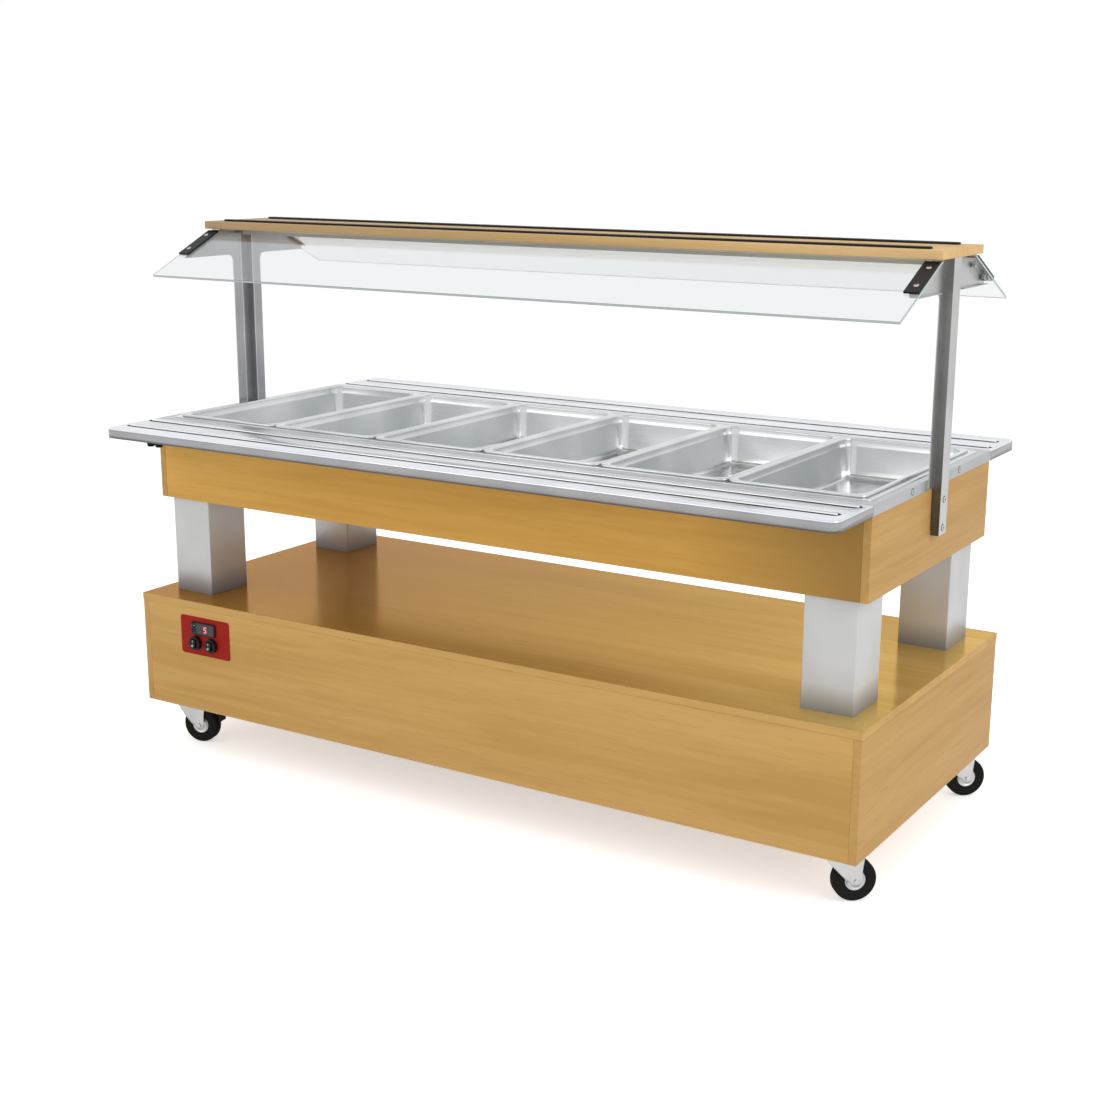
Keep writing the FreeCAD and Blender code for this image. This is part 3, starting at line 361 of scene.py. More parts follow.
# %% Glass and light
GLASS = {"Base Color": colour("#EDF0F1"), "Roughness": 0.0, "IOR": 1.5, "Transmission Weight": 1.0}
glass, tree, shader = new_material("clear_float_glass", **GLASS)
shadow_ray = add(tree, "LightPath").outputs["Is Shadow Ray"]
tree.links.new(ranged(tree, shadow_ray, 1.0, 0.12), shader.inputs["Alpha"])


def glow(name, tone, glow_tone, strength, streak_mm):
    """A lit surface whose glow varies a little from place to place, as a lamp's powder coating does."""
    lit = {"Base Color": colour(tone), "Roughness": 0.4, "Emission Color": colour(glow_tone)}
    material, tree, shader = new_material(name, **lit)
    streaks = soft_noise(tree, object_place(tree), streak_mm / 1000, 1.0)
    level = ranged(tree, streaks, strength * 0.85, strength * 1.15)
    tree.links.new(level, shader.inputs["Emission Strength"])
    return material


tube_glow = glow("lamp_tube_glow", "#F4F4EF", "#FFFDF4", 0.9, 60.0)
digit_glow = glow("display_digit_glow", "#FF6F8C", "#FF8098", 0.9, 4.0)
print("materials made:", len(bpy.data.materials))

# %% [markdown]
# ## Surfaces from formulas
# Light catches a small round along every real edge. So each new piece is a stack of closed outlines
# joined by quads, and near a face the outlines draw in along a quarter circle. Whole arrays keep this
# short, and the same few functions make boards, trays, buttons, screws and wheels.


# %% Outlines and stacks
def outline(half_x, half_y, radius, steps=5):
    """A rounded rectangle, counter-clockwise: in each quarter the corner's centre plus the radius times
    (cos a, sin a), with a turning by 90 degrees. The four corners may have a radius each."""
    angle = np.linspace(0, np.pi / 2, steps + 1)[None, :] + np.arange(4)[:, None] * np.pi / 2
    signs = np.array([(1, 1), (-1, 1), (-1, -1), (1, -1)])[:, None, :]
    radius = np.broadcast_to(radius, 4)[:, None, None]
    centre = signs * (np.array([half_x, half_y]) - radius)
    return (centre + radius * np.stack([np.cos(angle), np.sin(angle)], -1)).reshape(-1, 2)


def lifted(ring, height):
    """A flat outline at a height, as points with three coordinates."""
    return np.column_stack([ring, np.full(len(ring), float(height))])


def stack(loops, closed_ends=True, closed_ring=False):
    """Joins outlines, an array of (rings, points, 3), by quads; a flat face closes each end."""
    loops = np.asarray(loops, float)
    rings, count = loops.shape[:2]
    index = np.arange(rings * count).reshape(rings, count)
    below = index if closed_ring else index[:-1]
    above = np.roll(index, -1, 0) if closed_ring else index[1:]
    quads = np.stack([below, np.roll(below, -1, 1), np.roll(above, -1, 1), above], -1).reshape(-1, 4).tolist()
    if closed_ends and not closed_ring:
        quads += [index[0][::-1].tolist(), index[-1].tolist()]
    return loops.reshape(-1, 3), quads


def quarter(radius, steps=5):
    """A quarter circle: the arrays radius * (1 - cos t) and radius * (1 - sin t), t from 0 to 90 degrees."""
    t = np.linspace(0, np.pi / 2, steps + 1)
    return radius * (1 - np.cos(t)), radius * (1 - np.sin(t))


def soft_steps(soft, steps=3):
    """How far an outline draws in, and how far it has risen, along a quarter circle taken from its far end.
    The first row is a ring 0.6 mm further in."""
    draw, rise = quarter(soft, steps)
    return np.concatenate([[soft + 0.0006], draw[::-1]]), np.concatenate([[0.0], rise[::-1]])


# %% Blocks, prisms and turned shapes
AXES = {"x": [1, 2, 0], "y": [2, 0, 1], "z": [0, 1, 2]}


def along(points, axis):
    """Turns points drawn with their height last so that the height runs along an axis."""
    turned = np.empty_like(points)
    turned[..., AXES[axis]] = points
    return turned


def block(low, high, soft=0.0012, corner=None, axis="z"):
    """A board or bar: rounded rectangles stacked along the axis, drawn in near both faces by soft_steps."""
    low, high = (np.array(point, float)[AXES[axis]] for point in (low, high))
    half, middle = (high - low)[:2] / 2, (high + low)[:2] / 2
    corner = soft if corner is None else corner
    inset, rise = soft_steps(soft)
    heights = np.concatenate([low[2] + rise, (high[2] - rise)[::-1]])
    loops = [
        lifted(outline(half[0] - draw, half[1] - draw, max(corner - draw, 1e-5)) + middle, height)
        for draw, height in zip(np.concatenate([inset, inset[::-1]]), heights)
    ]
    points, faces = stack(loops)
    return along(points, axis), faces


def prism(flat_outline, low, high, axis):
    """Any closed outline, counter-clockwise, carried straight along an axis."""
    ring = np.array(flat_outline, float)
    points, faces = stack([lifted(ring, low), lifted(ring, high)])
    return along(points, axis), faces


def lathe(profile, turns=48, closed=False):
    """Turns (radius, height) pairs round Z: each draws radius * (cos a, sin a) at its height."""
    radius, height = np.array(profile, float).T
    angle = np.linspace(0, 2 * np.pi, turns, endpoint=False)
    ring = np.stack([np.cos(angle), np.sin(angle), np.zeros(turns)], -1)
    loops = radius[:, None, None] * ring + height[:, None, None] * np.array([0.0, 0.0, 1.0])
    return stack(loops, closed_ends=not closed, closed_ring=closed)


def placed(surface, matrix):
    """Moves a surface by a 4 x 4 matrix; a mirroring matrix also turns its faces round."""
    points, faces = surface
    grid = np.array(matrix, float)
    if np.linalg.det(grid[:3, :3]) < 0:
        faces = [face[::-1] for face in faces]
    return points @ grid[:3, :3].T + grid[:3, 3], faces


def joined(*surfaces):
    """Several surfaces as one: the point numbers of each are moved past the points before it."""
    points, faces, start = [], [], 0
    for some_points, some_faces in surfaces:
        points.append(some_points)
        faces += [[corner + start for corner in face] for face in some_faces]
        start += len(some_points)
    return np.concatenate(points), faces


# %% [markdown]
# ## From a surface to a piece
# A surface becomes an object, smooth except across sharp edges. It rides on one of the frame's bodies,
# so it moves with it, and may stand for a plainer piece of the frame. A few folded or pierced parts
# are copies from the frame, merged into clean faces and rounded by a Bevel modifier.

# %% Pieces
SHARP = math.radians(40)


def dressed(name, mesh, material, body, node):
    """Gives a mesh its finish, smooth but for its sharp edges, and lets it ride on a body."""
    mesh.materials.clear()
    mesh.materials.append(material)
    mesh.shade_smooth()
    mesh.set_sharp_from_angle(angle=SHARP)
    thing = linked(name, mesh)
    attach(thing, body)
    if node:
        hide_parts(node)
    print(name, "faces:", len(mesh.polygons))
    return thing


def piece(name, surface, material, body="stand", node=None):
    """Makes a piece from a surface; it may stand for a node of the frame."""
    points, faces = surface
    mesh = bpy.data.meshes.new(name)
    mesh.from_pydata(points.tolist(), [], faces)
    return dressed(name, mesh, material, body, node)


def bevelled(thing, width, segments=2):
    """Rounds every edge sharper than 30 degrees by a Bevel modifier."""
    bevel = thing.modifiers.new("rounded edge", "BEVEL")
    bevel.width = width
    bevel.segments = segments
    bevel.limit_method = "ANGLE"
    bevel.angle_limit = math.radians(30)
    bevel.harden_normals = True
    return thing


def walled(thing, thickness):
    """Gives a single sheet its thickness, behind its outer face."""
    wall = thing.modifiers.new("sheet thickness", "SOLIDIFY")
    wall.thickness = thickness
    wall.offset = -1.0


def softened_copy(name, node, material, width=0.0008, segments=2):
    """A copy of a frame node, merged into clean faces, with a small bevel on its edges."""
    source = frame["nodes"][node]
    mesh = source.data.copy()
    work = bmesh.new()
    work.from_mesh(mesh)
    bmesh.ops.remove_doubles(work, verts=work.verts, dist=1e-6)
    bmesh.ops.dissolve_limit(work, angle_limit=math.radians(1.0), verts=work.verts, edges=work.edges)
    work.to_mesh(mesh)
    work.free()
    mesh.name = name
    return bevelled(dressed(name, mesh, material, source["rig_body"], node), width, segments)


def node_box(node):
    """A frame node's lowest and highest corner as arrays."""
    return [np.array(corner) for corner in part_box(node)]


def faces_of(thing, value):
    """The normal or the center of every face of a piece, as an array of (faces, 3)."""
    found = np.empty(len(thing.data.polygons) * 3)
    thing.data.polygons.foreach_get(value, found)
    return found.reshape(-1, 3)


def refinished(thing, index, *materials):
    """Adds finishes to a piece and gives every face the one that its index names."""
    for material in materials:
        thing.data.materials.append(material)
    thing.data.polygons.foreach_set("material_index", np.asarray(index).astype(np.int32))


# %% [markdown]
# ## Wooden panels
# Veneered boards are cut square and sanded, so each is a block with a 1.2 mm round on its edges. The
# end panels show their edges on the front, and the plinth's top is lacquered to a shine. Only the back
# panel keeps the frame's shape, because the vent's opening is cut in it.

# %% Plinth, apron and canopy board
ENDS = [part + "_end_panel_" + side for part in ("base", "apron") for side in ("left", "right")]
PANELS = {
    veneer_front: ("base_front_panel", "base_floor_board"),
    veneer_apron: ("apron_front_panel", "apron_back_panel"),
    veneer_under: ("apron_floor_board",),
    veneer_end: ENDS,
}
for veneer, nodes in PANELS.items():
    for node in nodes:
        piece(node + "_veneered", block(*node_box(node)), veneer, node=node)
shelf = block(*node_box("base_top_panel"), 0.0015)
top = piece("plinth_top_polished", shelf, veneer_shelf, node="base_top_panel")
refinished(top, faces_of(top, "normal")[:, 2] < 0.9, veneer_front)
board = block(*node_box("canopy_board"), 0.0015)
piece("canopy_board_lacquered", board, veneer_board, node="canopy_board")
softened_copy("plinth_back_veneered", "base_back_panel", veneer_front)
softened_copy("vent_louvres", "vent_grille", black_enamel, 0.0003)

# %% [markdown]
# ## Columns
# Each column is a rectangular tube, folded with an outside radius of 3 mm and brushed up its length.
# A block with rounded upright corners is enough, as its ends are hidden by the wood.

# %% Columns
CORNERS = {"front_left": (-1, -1), "front_right": (1, -1), "back_left": (-1, 1), "back_right": (1, 1)}
for corner in CORNERS:
    column = block(*node_box("leg_" + corner), 0.0003, 0.003)
    piece("column_" + corner, column, column_steel, node="leg_" + corner)

# %% [markdown]
# ## Tray slides
# A slide is one sheet with its edges turned down, 25 mm round at its two outer corners and rolled over
# with a 3 mm radius; its turned-down skirt takes a darker steel, painted shade. Two pressed ridges carry
# the trays; their brighter steel is a painted highlight, and each lies in a dark line of painted shade, a
# wide low dark bar. The back slide is drawn, and the front one is the same turned half round.

# %% Slide shapes
COUNTER_TOP = 0.900
SLIDE_HALF_LENGTH = 1.0165
SLIDE_INNER = 0.3772
SLIDE_OUTER = 0.566
SLIDE_CORNERS = np.array([0.025, 0.025, 0.0015, 0.0015])
SLIDE_ROLL = 0.003
SLIDE_SKIRT = 0.025
RIDGES = ((0.411, 1.000), (0.500, 0.990))  # distance from the middle, half length
HALF_TURN = spun(180, "Z")
SIDES = {"back": Matrix.Identity(4), "front": HALF_TURN}


def slide_outline(inset):
    """The back slide's outline drawn in by inset: 25 mm round at the outer corners, 1.5 mm at the inner."""
    half_y, middle = (SLIDE_OUTER - SLIDE_INNER) / 2, (SLIDE_OUTER + SLIDE_INNER) / 2
    radius = np.maximum(SLIDE_CORNERS - inset, 1e-4)
    return outline(SLIDE_HALF_LENGTH - inset, half_y - inset, radius, steps=8) + (0, middle)


def slide_sheet():
    """Outlines from the skirt's lower edge up, over the roll by a quarter circle, and in to the top."""
    draw, drop = quarter(SLIDE_ROLL, 6)
    inset = np.concatenate([[0.0], draw, [SLIDE_ROLL + 0.001]])
    height = COUNTER_TOP - np.concatenate([[SLIDE_SKIRT], drop, [0.0]])
    return stack([lifted(slide_outline(i), h) for i, h in zip(inset, height)], closed_ends=False)


def slide_top():
    """The flat top of the sheet, one face inside the rolled edge."""
    ring = lifted(slide_outline(SLIDE_ROLL + 0.001), COUNTER_TOP)
    return ring, [list(range(len(ring)))]


def ridge(centre_y, half_length, half_width, height):
    """A long bar with round ends whose section is half an ellipse: width * cos t and height * sin t."""
    t = np.linspace(0, np.pi / 2, 7)[:-1]
    loops = []
    for draw, rise in zip(half_width * (1 - np.cos(t)), height * np.sin(t)):
        ring = outline(half_length - draw, half_width - draw, half_width - draw - 1e-5, steps=6)
        loops.append(lifted(ring + (0, centre_y), COUNTER_TOP + rise))
    return stack(loops)


# %% Slides
BUFFER = [(0.0098, 0.0), (0.010, 0.002), (0.010, 0.033), (0.0092, 0.0365), (0.0075, 0.038)]
ridges = joined(*(ridge(y, half, 0.005, 0.003) for y, half in RIDGES))
# A wide, low, dark bar under each ridge is painted shade.
shade_lines = joined(*(ridge(y, half + 0.0060, 0.0150, 0.0005) for y, half in RIDGES))
hung = [moved(x, 0.530, 0.897) @ spun(180, "X") for x in (0.860, 0.888)]
buffers = joined(*(placed(lathe(BUFFER, 32), below) for below in hung))
for side, turn_round in SIDES.items():
    body = "slide_" + side
    shape = placed(joined(slide_sheet(), slide_top()), turn_round)
    sheet = piece("slide_sheet_" + side, shape, counter_steel, body, "tray_slide_" + side)
    walled(sheet, 0.002)
    # Faces below the rolled edge take the darker skirt steel, painted shade.
    refinished(sheet, faces_of(sheet, "center")[:, 2] < COUNTER_TOP - SLIDE_ROLL, skirt_shaded_steel)
    piece("slide_ridges_" + side, placed(ridges, turn_round), ridge_highlight_steel, body)
    piece("slide_shade_lines_" + side, placed(shade_lines, turn_round), painted_shade_black, body)
    piece("slide_buffers_" + side, placed(buffers, turn_round), tyre_rubber, body)

# %% [markdown]
# Under each slide three pairs of webs hang on hinge pins: plain plates, 3 mm thick, with a round eye.

# %% Slide webs
HINGE_Y = 0.3845
HINGE_Z = 0.868
WEB_NEAR, WEB_FAR = 0.0125, 0.0155  # from the hinge bracket's middle


def web_outline():
    """From the sheet down to the eye: two upper corners, then 220 degrees of a circle round the pin."""
    a = np.radians(np.linspace(160, 380, 16))
    eye = np.stack([HINGE_Y + 0.006 * np.cos(a), HINGE_Z + 0.006 * np.sin(a)], -1)
    return np.concatenate([eye, [(0.398, 0.898), (0.3795, 0.898)]])


webs = []
for station in (-0.955, 0.0, 0.955):
    for low, high in ((-WEB_FAR, -WEB_NEAR), (WEB_NEAR, WEB_FAR)):
        webs.append(prism(web_outline(), station + low, station + high, "x"))
for side, turn_round in SIDES.items():
    piece("slide_webs_" + side, placed(joined(*webs), turn_round), counter_steel, "slide_" + side)

# %% [markdown]
# ## Counter and well
# The counter's middle comes from the frame and gets its folded radius. The well that drops into it is
# one stack of outlines: in over a wide flange, round a rolled mouth and down the tub to a rounded
# floor, with the sheet's thickness added behind it.

# %% Counter and well
WELL_MOUTH = (0.971, 0.321, 0.020)  # half length, half width, corner radius
FLANGE = (0.996, 0.343, 0.014)
FLANGE_TOP = 0.9015
FLANGE_EDGE = 0.0012
WELL_FLOOR = 0.790
WELL_ROLL = 0.004
WELL_FLOOR_ROUND = 0.012
WELL_SHEET = 0.0015


def rings(size, draws, heights):
    """Rounded rectangles of one size, each drawn in by its own distance and set at its own height."""
    half_x, half_y, radius = size
    return [
        lifted(outline(half_x - draw, half_y - draw, max(radius - draw, 0.0005), steps=6), height)
        for draw, height in zip(draws, heights)
    ]


def tub(rows):
    """Stacks outlines from an edge down to a floor, with no face across the open top."""
    points, faces = stack(rows)
    return points, faces[:-2] + faces[-1:]


def well_sheet():
    """Flange edge, flange, a quarter circle over the mouth, the wall, a quarter circle into the floor."""
    rows = rings(FLANGE, (0.0, FLANGE_EDGE), (FLANGE_TOP - FLANGE_EDGE, FLANGE_TOP))
    drop, draw = quarter(WELL_ROLL)
    rows += rings(WELL_MOUTH, -draw, FLANGE_TOP - drop)
    draw, rise = quarter(WELL_FLOOR_ROUND)
    return tub(rows + rings(WELL_MOUTH, draw, WELL_FLOOR + rise))


walled(piece("well_pressed", well_sheet(), pan_steel, node="well_tub"), WELL_SHEET)
# The counter sheet takes the darker steel, a painted dark reflection.
softened_copy("counter_sheet", "table_top", counter_dark_reflection_steel, 0.0012, 3)

# %% [markdown]
# ## Food pans
# A pan is drawn from thin sheet: a flat rim with a turned-down edge, a rolled mouth, a small stacking
# shoulder, walls that taper so that pans nest, and a rounded floor. It is one stack of outlines again.

# %% Pans
PAN_HALF = (0.1625, 0.330, 0.018)
PAN_MOUTH = (0.1505, 0.318, 0.032)
PAN_RIM_TOP = 0.907
PAN_RIM_EDGE = 0.9018
PAN_FLOOR = 0.8082
PAN_TAPER = 0.0075
PAN_SHEET = 0.0011
SHOULDER = ((0.0002, 0.0018, 0.0024, 0.0068), (0.893, 0.8895, 0.886, 0.828))  # drawn in, height


def pan_sheet():
    """Rim edge, a 2.4 mm roll, the rim, a 4 mm roll at the mouth, a shoulder, the taper, the floor."""
    draw, drop = quarter(0.0024)
    rows = rings(PAN_HALF, [0.0, *draw], [PAN_RIM_EDGE, *(PAN_RIM_TOP - drop)])
    drop, draw = quarter(0.004)
    rows += rings(PAN_MOUTH, -draw, PAN_RIM_TOP - drop)
    rows += rings(PAN_MOUTH, *SHOULDER)
    draw, rise = quarter(0.018)
    return tub(rows + rings(PAN_MOUTH, PAN_TAPER + draw, PAN_FLOOR + rise))


for number in range(1, 7):
    name = "gn_pan_%d" % number
    low, high = node_box(name)
    shape = placed(pan_sheet(), moved((low[0] + high[0]) / 2, 0, 0))
    walled(piece(name + "_drawn", shape, pan_steel, "pan_%d" % number, name), PAN_SHEET)

# %% [markdown]
# ## Posts, lamp and strips
# Each post is one folded sheet with a hat channel, a T head and two sloping flanges. A copy of the
# frame's gets a 0.8 mm radius on its bends. Shade is painted on it: the channel's sides, its inside and
# the faces towards the pans take darker copies of the steel. A painted highlight, the bright finish of the
# bevelled edges and two bright strips, lines the edges and the folds where the sheet turns into the channel.

# %% Posts, lamp housing and strips
CHANNEL_SIDE = 0.0235
SHADED_SIDE, SHADED_INNER, SHADED_GROOVE, FOLD_HIGHLIGHT = 1, 2, 3, 4  # places in the post's list of finishes
FOLD_X = (1.0157, 1.0167)
FOLD_Y = (-0.0245, 0.0215)
FOLD_Z = (0.878, 1.370)
FOLD_WIDTH = 0.003
STRIP_WIDTH = 0.025
for side, outward in (("left", -1), ("right", 1)):
    post = softened_copy("post_folded_" + side, "canopy_post_" + side, post_steel)
    normals = faces_of(post, "normal")
    centres = faces_of(post, "center")
    # Shade is painted by which way each face looks: the channel's sides, its inside and the faces towards the
    # pans take darker steel.
    in_channel = np.abs(centres[:, 1]) < CHANNEL_SIDE
    is_shaded_side = in_channel & (np.abs(normals[:, 1]) > 0.9)
    is_shaded_inner = normals[:, 0] * outward < -0.9
    is_shaded_groove = (in_channel & is_shaded_inner) | (is_shaded_side & (normals[:, 1] * centres[:, 1] < 0))
    index = np.select([is_shaded_groove, is_shaded_inner, is_shaded_side], [SHADED_GROOVE, SHADED_INNER, SHADED_SIDE], 0)
    refinished(post, index, post_side_shaded_steel, post_inner_shaded_steel, post_groove_shaded_steel, fold_highlight_steel)
    # The bevel's faces take the bright steel, a painted highlight on every rounded edge.
    post.modifiers["rounded edge"].material = FOLD_HIGHLIGHT
# Thin bright strips along the channel's folds are a painted highlight.
fold_highlights = joined(*(
    block((FOLD_X[0], y, FOLD_Z[0]), (FOLD_X[1], y + FOLD_WIDTH, FOLD_Z[1]), 0.0004) for y in FOLD_Y
))
piece("post_fold_edges", joined(fold_highlights, placed(fold_highlights, HALF_TURN)), fold_highlight_steel)
softened_copy("lamp_channel", "lamp_housing", white_enamel, 0.0006)
softened_copy("hinge_brackets", "slide_hinge_brackets", zinc_steel, 0.0004)
low, high = node_box("board_strips")
strips = [
    block((low[0], y, low[2]), (high[0], y + STRIP_WIDTH, high[2]), 0.0012, 0.0124)
    for y in (low[1], high[1] - STRIP_WIDTH)
]
piece("board_strips_rounded", joined(*strips), black_bar, node="board_strips")

# %% [markdown]
# A fluorescent tube with a metal cap at each end is turned from a profile and laid along X.

# %% Lamp tube
low, high = node_box("lamp_tube")
end, r = high[0], (high[2] - low[2]) / 2
laid = moved(0, 0, (high[2] + low[2]) / 2) @ spun(90, "Y")
tube_part = [(r * 0.7, 0.018 - end), (r * 0.97, 0.022 - end), (r * 0.97, end - 0.022), (r * 0.7, end - 0.018)]
cap_part = [(r * 0.8, -end), (r, 0.001 - end), (r, 0.019 - end), (r * 0.8, 0.020 - end)]
cap = placed(lathe(cap_part, 32), laid)
piece("lamp_tube_glass", placed(lathe(tube_part, 32), laid), tube_glow, node="lamp_tube")
piece("lamp_tube_caps", joined(cap, placed(cap, mirrored(x=-1))), fin_aluminium)

# %% [markdown]
# ## Glass panes and clamps
# Each pane slopes down at 25 degrees from under the board. It is drawn flat, 6 mm thick with ground
# edges, and laid on the slope by one matrix, which the clamps and their screws share.

# %% Panes and clamps
SLOPE = moved(0, 0.1055, 1.3855) @ spun(-25, "X")
PANE = ((-1.040, 0.0, -0.006), (1.040, 0.262, 0.0))
CLAMPS = (((1.005, 0.018, 0.0), (1.040, 0.149, 0.005)), ((-1.040, 0.018, 0.0), (-1.005, 0.149, 0.005)))
for side, turn_round in SIDES.items():
    here = turn_round @ SLOPE
    pane = piece("pane_" + side, placed(block(*PANE, 0.0006, 0.002), here), glass, node="glass_" + side)
    across = np.array(here.to_3x3() @ Vector((0, 0, 1)))
    refinished(pane, np.abs(faces_of(pane, "normal") @ across) < 0.3, ground_edge)
clamps = joined(*(block(*ends, 0.0008, 0.001) for ends in CLAMPS))
both_sets = joined(placed(clamps, SLOPE), placed(clamps, HALF_TURN @ SLOPE))
piece("pane_clamps", both_sets, black_bar, node="glass_clamps")

# %% [markdown]
# ## Screws
# A turned ring has one radius all round, but a hexagon's changes with the angle: it is the flat
# distance divided by the cosine of the angle from the nearest flat. Using that for the inner rings
# cuts the socket. Under the screws in posts and end trims, thin dark discs paint the shade that
# outlines their heads.

# %% Screw shapes
HEAD_RADIUS = 0.0065
HEADS = (  # place on the right end, height of the dome
    (1.0360, 0.000, 0.783, 0.0030),
    (1.0360, 0.000, 0.848, 0.0030),
    (1.0165, -0.150, 0.889, 0.0018),
    (1.0165, 0.150, 0.889, 0.0018),
)
CASTER_X = 0.965
CASTER_Y = 0.366


def button_head(radius, height, turns=36):
    """Rings up a dome (radius * cos t, height * sin t), then hexagonal rings down into the socket."""
    angle = np.linspace(0, 2 * np.pi, turns, endpoint=False)
    circle = np.stack([np.cos(angle), np.sin(angle)], -1)
    hexagon = circle * (math.cos(math.pi / 6) / np.cos(angle % (np.pi / 3) - np.pi / 6))[:, None]
    t = np.linspace(0.0, np.radians(62), 6)
    rows = [lifted(circle * radius, 0.0)]
    rows += [lifted(circle * radius * np.cos(a), height * (0.25 + 0.75 * np.sin(a))) for a in t]
    rows.append(lifted(hexagon * radius * 0.44, height * 0.97))
    rows.append(lifted(hexagon * radius * 0.40, height * 0.25))
    return stack(rows)


def hex_nut(radius, height):
    """Six flats between two faces."""
    return lathe([(radius, 0.0), (radius, height)], 6)


# %% Screws, nuts and washers
# Thin dark discs under the heads are painted shade.
shade_ring = lathe([(0.0080, 0.0), (0.0080, 0.0003)], 36)
right_screws, right_shade_rings = [], []
for x, y, z, dome in HEADS:
    here = moved(x, y, z) @ spun(90, "Y")
    right_screws.append(placed(button_head(HEAD_RADIUS, dome), here))
    right_shade_rings.append(placed(shade_ring, here))
for down in (0.046, 0.122):
    on_clamp = SLOPE @ moved(1.0245, down, 0.005)
    under_flange = SLOPE @ moved(1.0245, down, -0.014)
    screw = joined(placed(button_head(0.006, 0.0025), on_clamp), placed(hex_nut(0.0055, 0.006), under_flange))
    right_screws += [screw, placed(screw, mirrored(y=-1))]
right_set = joined(*right_screws)
right_shade_rings = joined(*right_shade_rings)
bolts = [
    placed(hex_nut(0.006, 0.004), moved(side_x * CASTER_X + a * 0.040, side_y * CASTER_Y + b * 0.030, 0.118))
    for side_x, side_y in CORNERS.values()
    for a in (-1, 1)
    for b in (-1, 1)
]
screws = joined(right_set, placed(right_set, mirrored(x=-1)), *bolts)
piece("screws_and_nuts", screws, screw_steel, node="assembly_screws")
piece("screw_washers", joined(right_shade_rings, placed(right_shade_rings, mirrored(x=-1))), painted_shade_black)

# %% [markdown]
# ## Control panel
# A red plate with rounded corners carries a small temperature controller and two rocker switches, all
# drawn as blocks whose height runs along Y. The plate stays bare but for the marks on the switches
# and the reading, a plain 5 in seven-segment bars.

# %% Plate and controller
PLATE_FACE = -0.4405
DIGIT_X, DIGIT_Z = -0.8134, 0.3570  # the digit's middle
HALF_X, HALF_Z = 0.0045, 0.0080
STROKE = 0.0023


def front_block(x0, x1, z0, z1, near, far, soft, corner):
    """A block on the red plate; near and far are distances out from the plate's face."""
    return block((x0, PLATE_FACE - far, z0), (x1, PLATE_FACE - near, z1), soft, corner, "y")


def segment(x0, x1, z0, z1):
    """A bar of the digit, leaning by 6 degrees: x grows with height by its tangent."""
    bar = np.array([(z0, x0), (z0, x1), (z1, x1), (z1, x0)])
    bar[:, 1] += (bar[:, 0] - DIGIT_Z) * math.tan(math.radians(6))
    return prism(bar[::-1], PLATE_FACE - 0.0055, PLATE_FACE - 0.0052, "y")


left, right = DIGIT_X - HALF_X, DIGIT_X + HALF_X
bottom, top = DIGIT_Z - HALF_Z, DIGIT_Z + HALF_Z
levels = (bottom + STROKE / 2, DIGIT_Z, top - STROKE / 2)
bars = [segment(left, right, z - STROKE / 2, z + STROKE / 2) for z in levels]
bars.append(segment(left, left + STROKE, DIGIT_Z, top))
bars.append(segment(right - STROKE, right, bottom, DIGIT_Z))
plate = block(*node_box("control_plate"), 0.0004, 0.008, "y")
bezel = front_block(-0.864, -0.780, 0.340, 0.375, 0, 0.005, 0.0012, 0.004)
window = front_block(-0.8455, -0.7835, 0.3430, 0.3720, 0.0040, 0.0053, 0.0002, 0.002)
piece("control_plate_printed", plate, red_print, node="control_plate")
piece("controller_bezel", bezel, black_abs)
piece("controller_window", window, window_dark)
piece("controller_digit", joined(*bars), digit_glow)

# %% [markdown]
# ## Keys and switches
# Each switch is a round black collar with a square window, and in it a rocker whose face is dished:
# its depth grows with the square of the height. The generic marks for on and off lie on that curve.

# %% Keys
UPRIGHT = spun(90, "X")  # a turned shape's axis laid along Y
for name in ("up", "down"):
    node = "thermostat_key_" + name
    key = block(*node_box(node), 0.0005, 0.0012, "y")
    piece("key_" + name + "_cap", key, key_abs, "key_" + name, node)
dot = lathe([(0.0014, 0.0), (0.0014, 0.0002)], 24)
on_key = moved(-0.8512, PLATE_FACE - 0.0062, 0.3652) @ UPRIGHT
piece("key_up_dot", placed(dot, on_key), mark_white, "key_up")
# The upright grey bar near the bezel's left edge is a painted highlight of that edge; the short level bar is
# a grey mark.
dashes = joined(
    front_block(-0.8617, -0.8607, 0.3565, 0.3680, 0.0049, 0.0052, 0.0001, 0.0002),
    front_block(-0.8580, -0.8510, 0.3434, 0.3446, 0.0049, 0.0052, 0.0001, 0.0002),
)
piece("controller_dashes", dashes, grey_mark_and_highlight)

# %% Switch collars
SWITCHES = {"light": -0.851, "cooling": -0.7955}
SWITCH_HEIGHT = 0.316
COLLAR = 0.019  # radius
COLLAR_DEPTH = 0.0115
COLLAR_FACE = PLATE_FACE - COLLAR_DEPTH
WINDOW = (0.0083, 0.0122, 0.0008)  # half width, half height, corner radius


def collar():
    """From the plate out along a circle, over a 2 mm round, then in to a square window and down into it."""
    draws, falls = quarter(0.002, 4)
    rows = [lifted(outline(COLLAR, COLLAR, COLLAR - 0.0002, 11), 0.0)]
    for draw, fall in zip(draws, falls):
        ring = outline(COLLAR - draw, COLLAR - draw, COLLAR - 0.0002 - draw, 11)
        rows.append(lifted(ring, COLLAR_DEPTH - fall))
    rows.append(lifted(outline(0.0087, 0.0126, 0.0012, 11), COLLAR_DEPTH))
    rows += [lifted(outline(*WINDOW, 11), out) for out in (0.0111, 0.0030)]
    return stack(rows)


collar_places = [moved(x, PLATE_FACE, SWITCH_HEIGHT) @ UPRIGHT for x in SWITCHES.values()]
collars = joined(*(placed(collar(), here) for here in collar_places))
piece("switch_collars", collars, black_abs, node="thermostat")


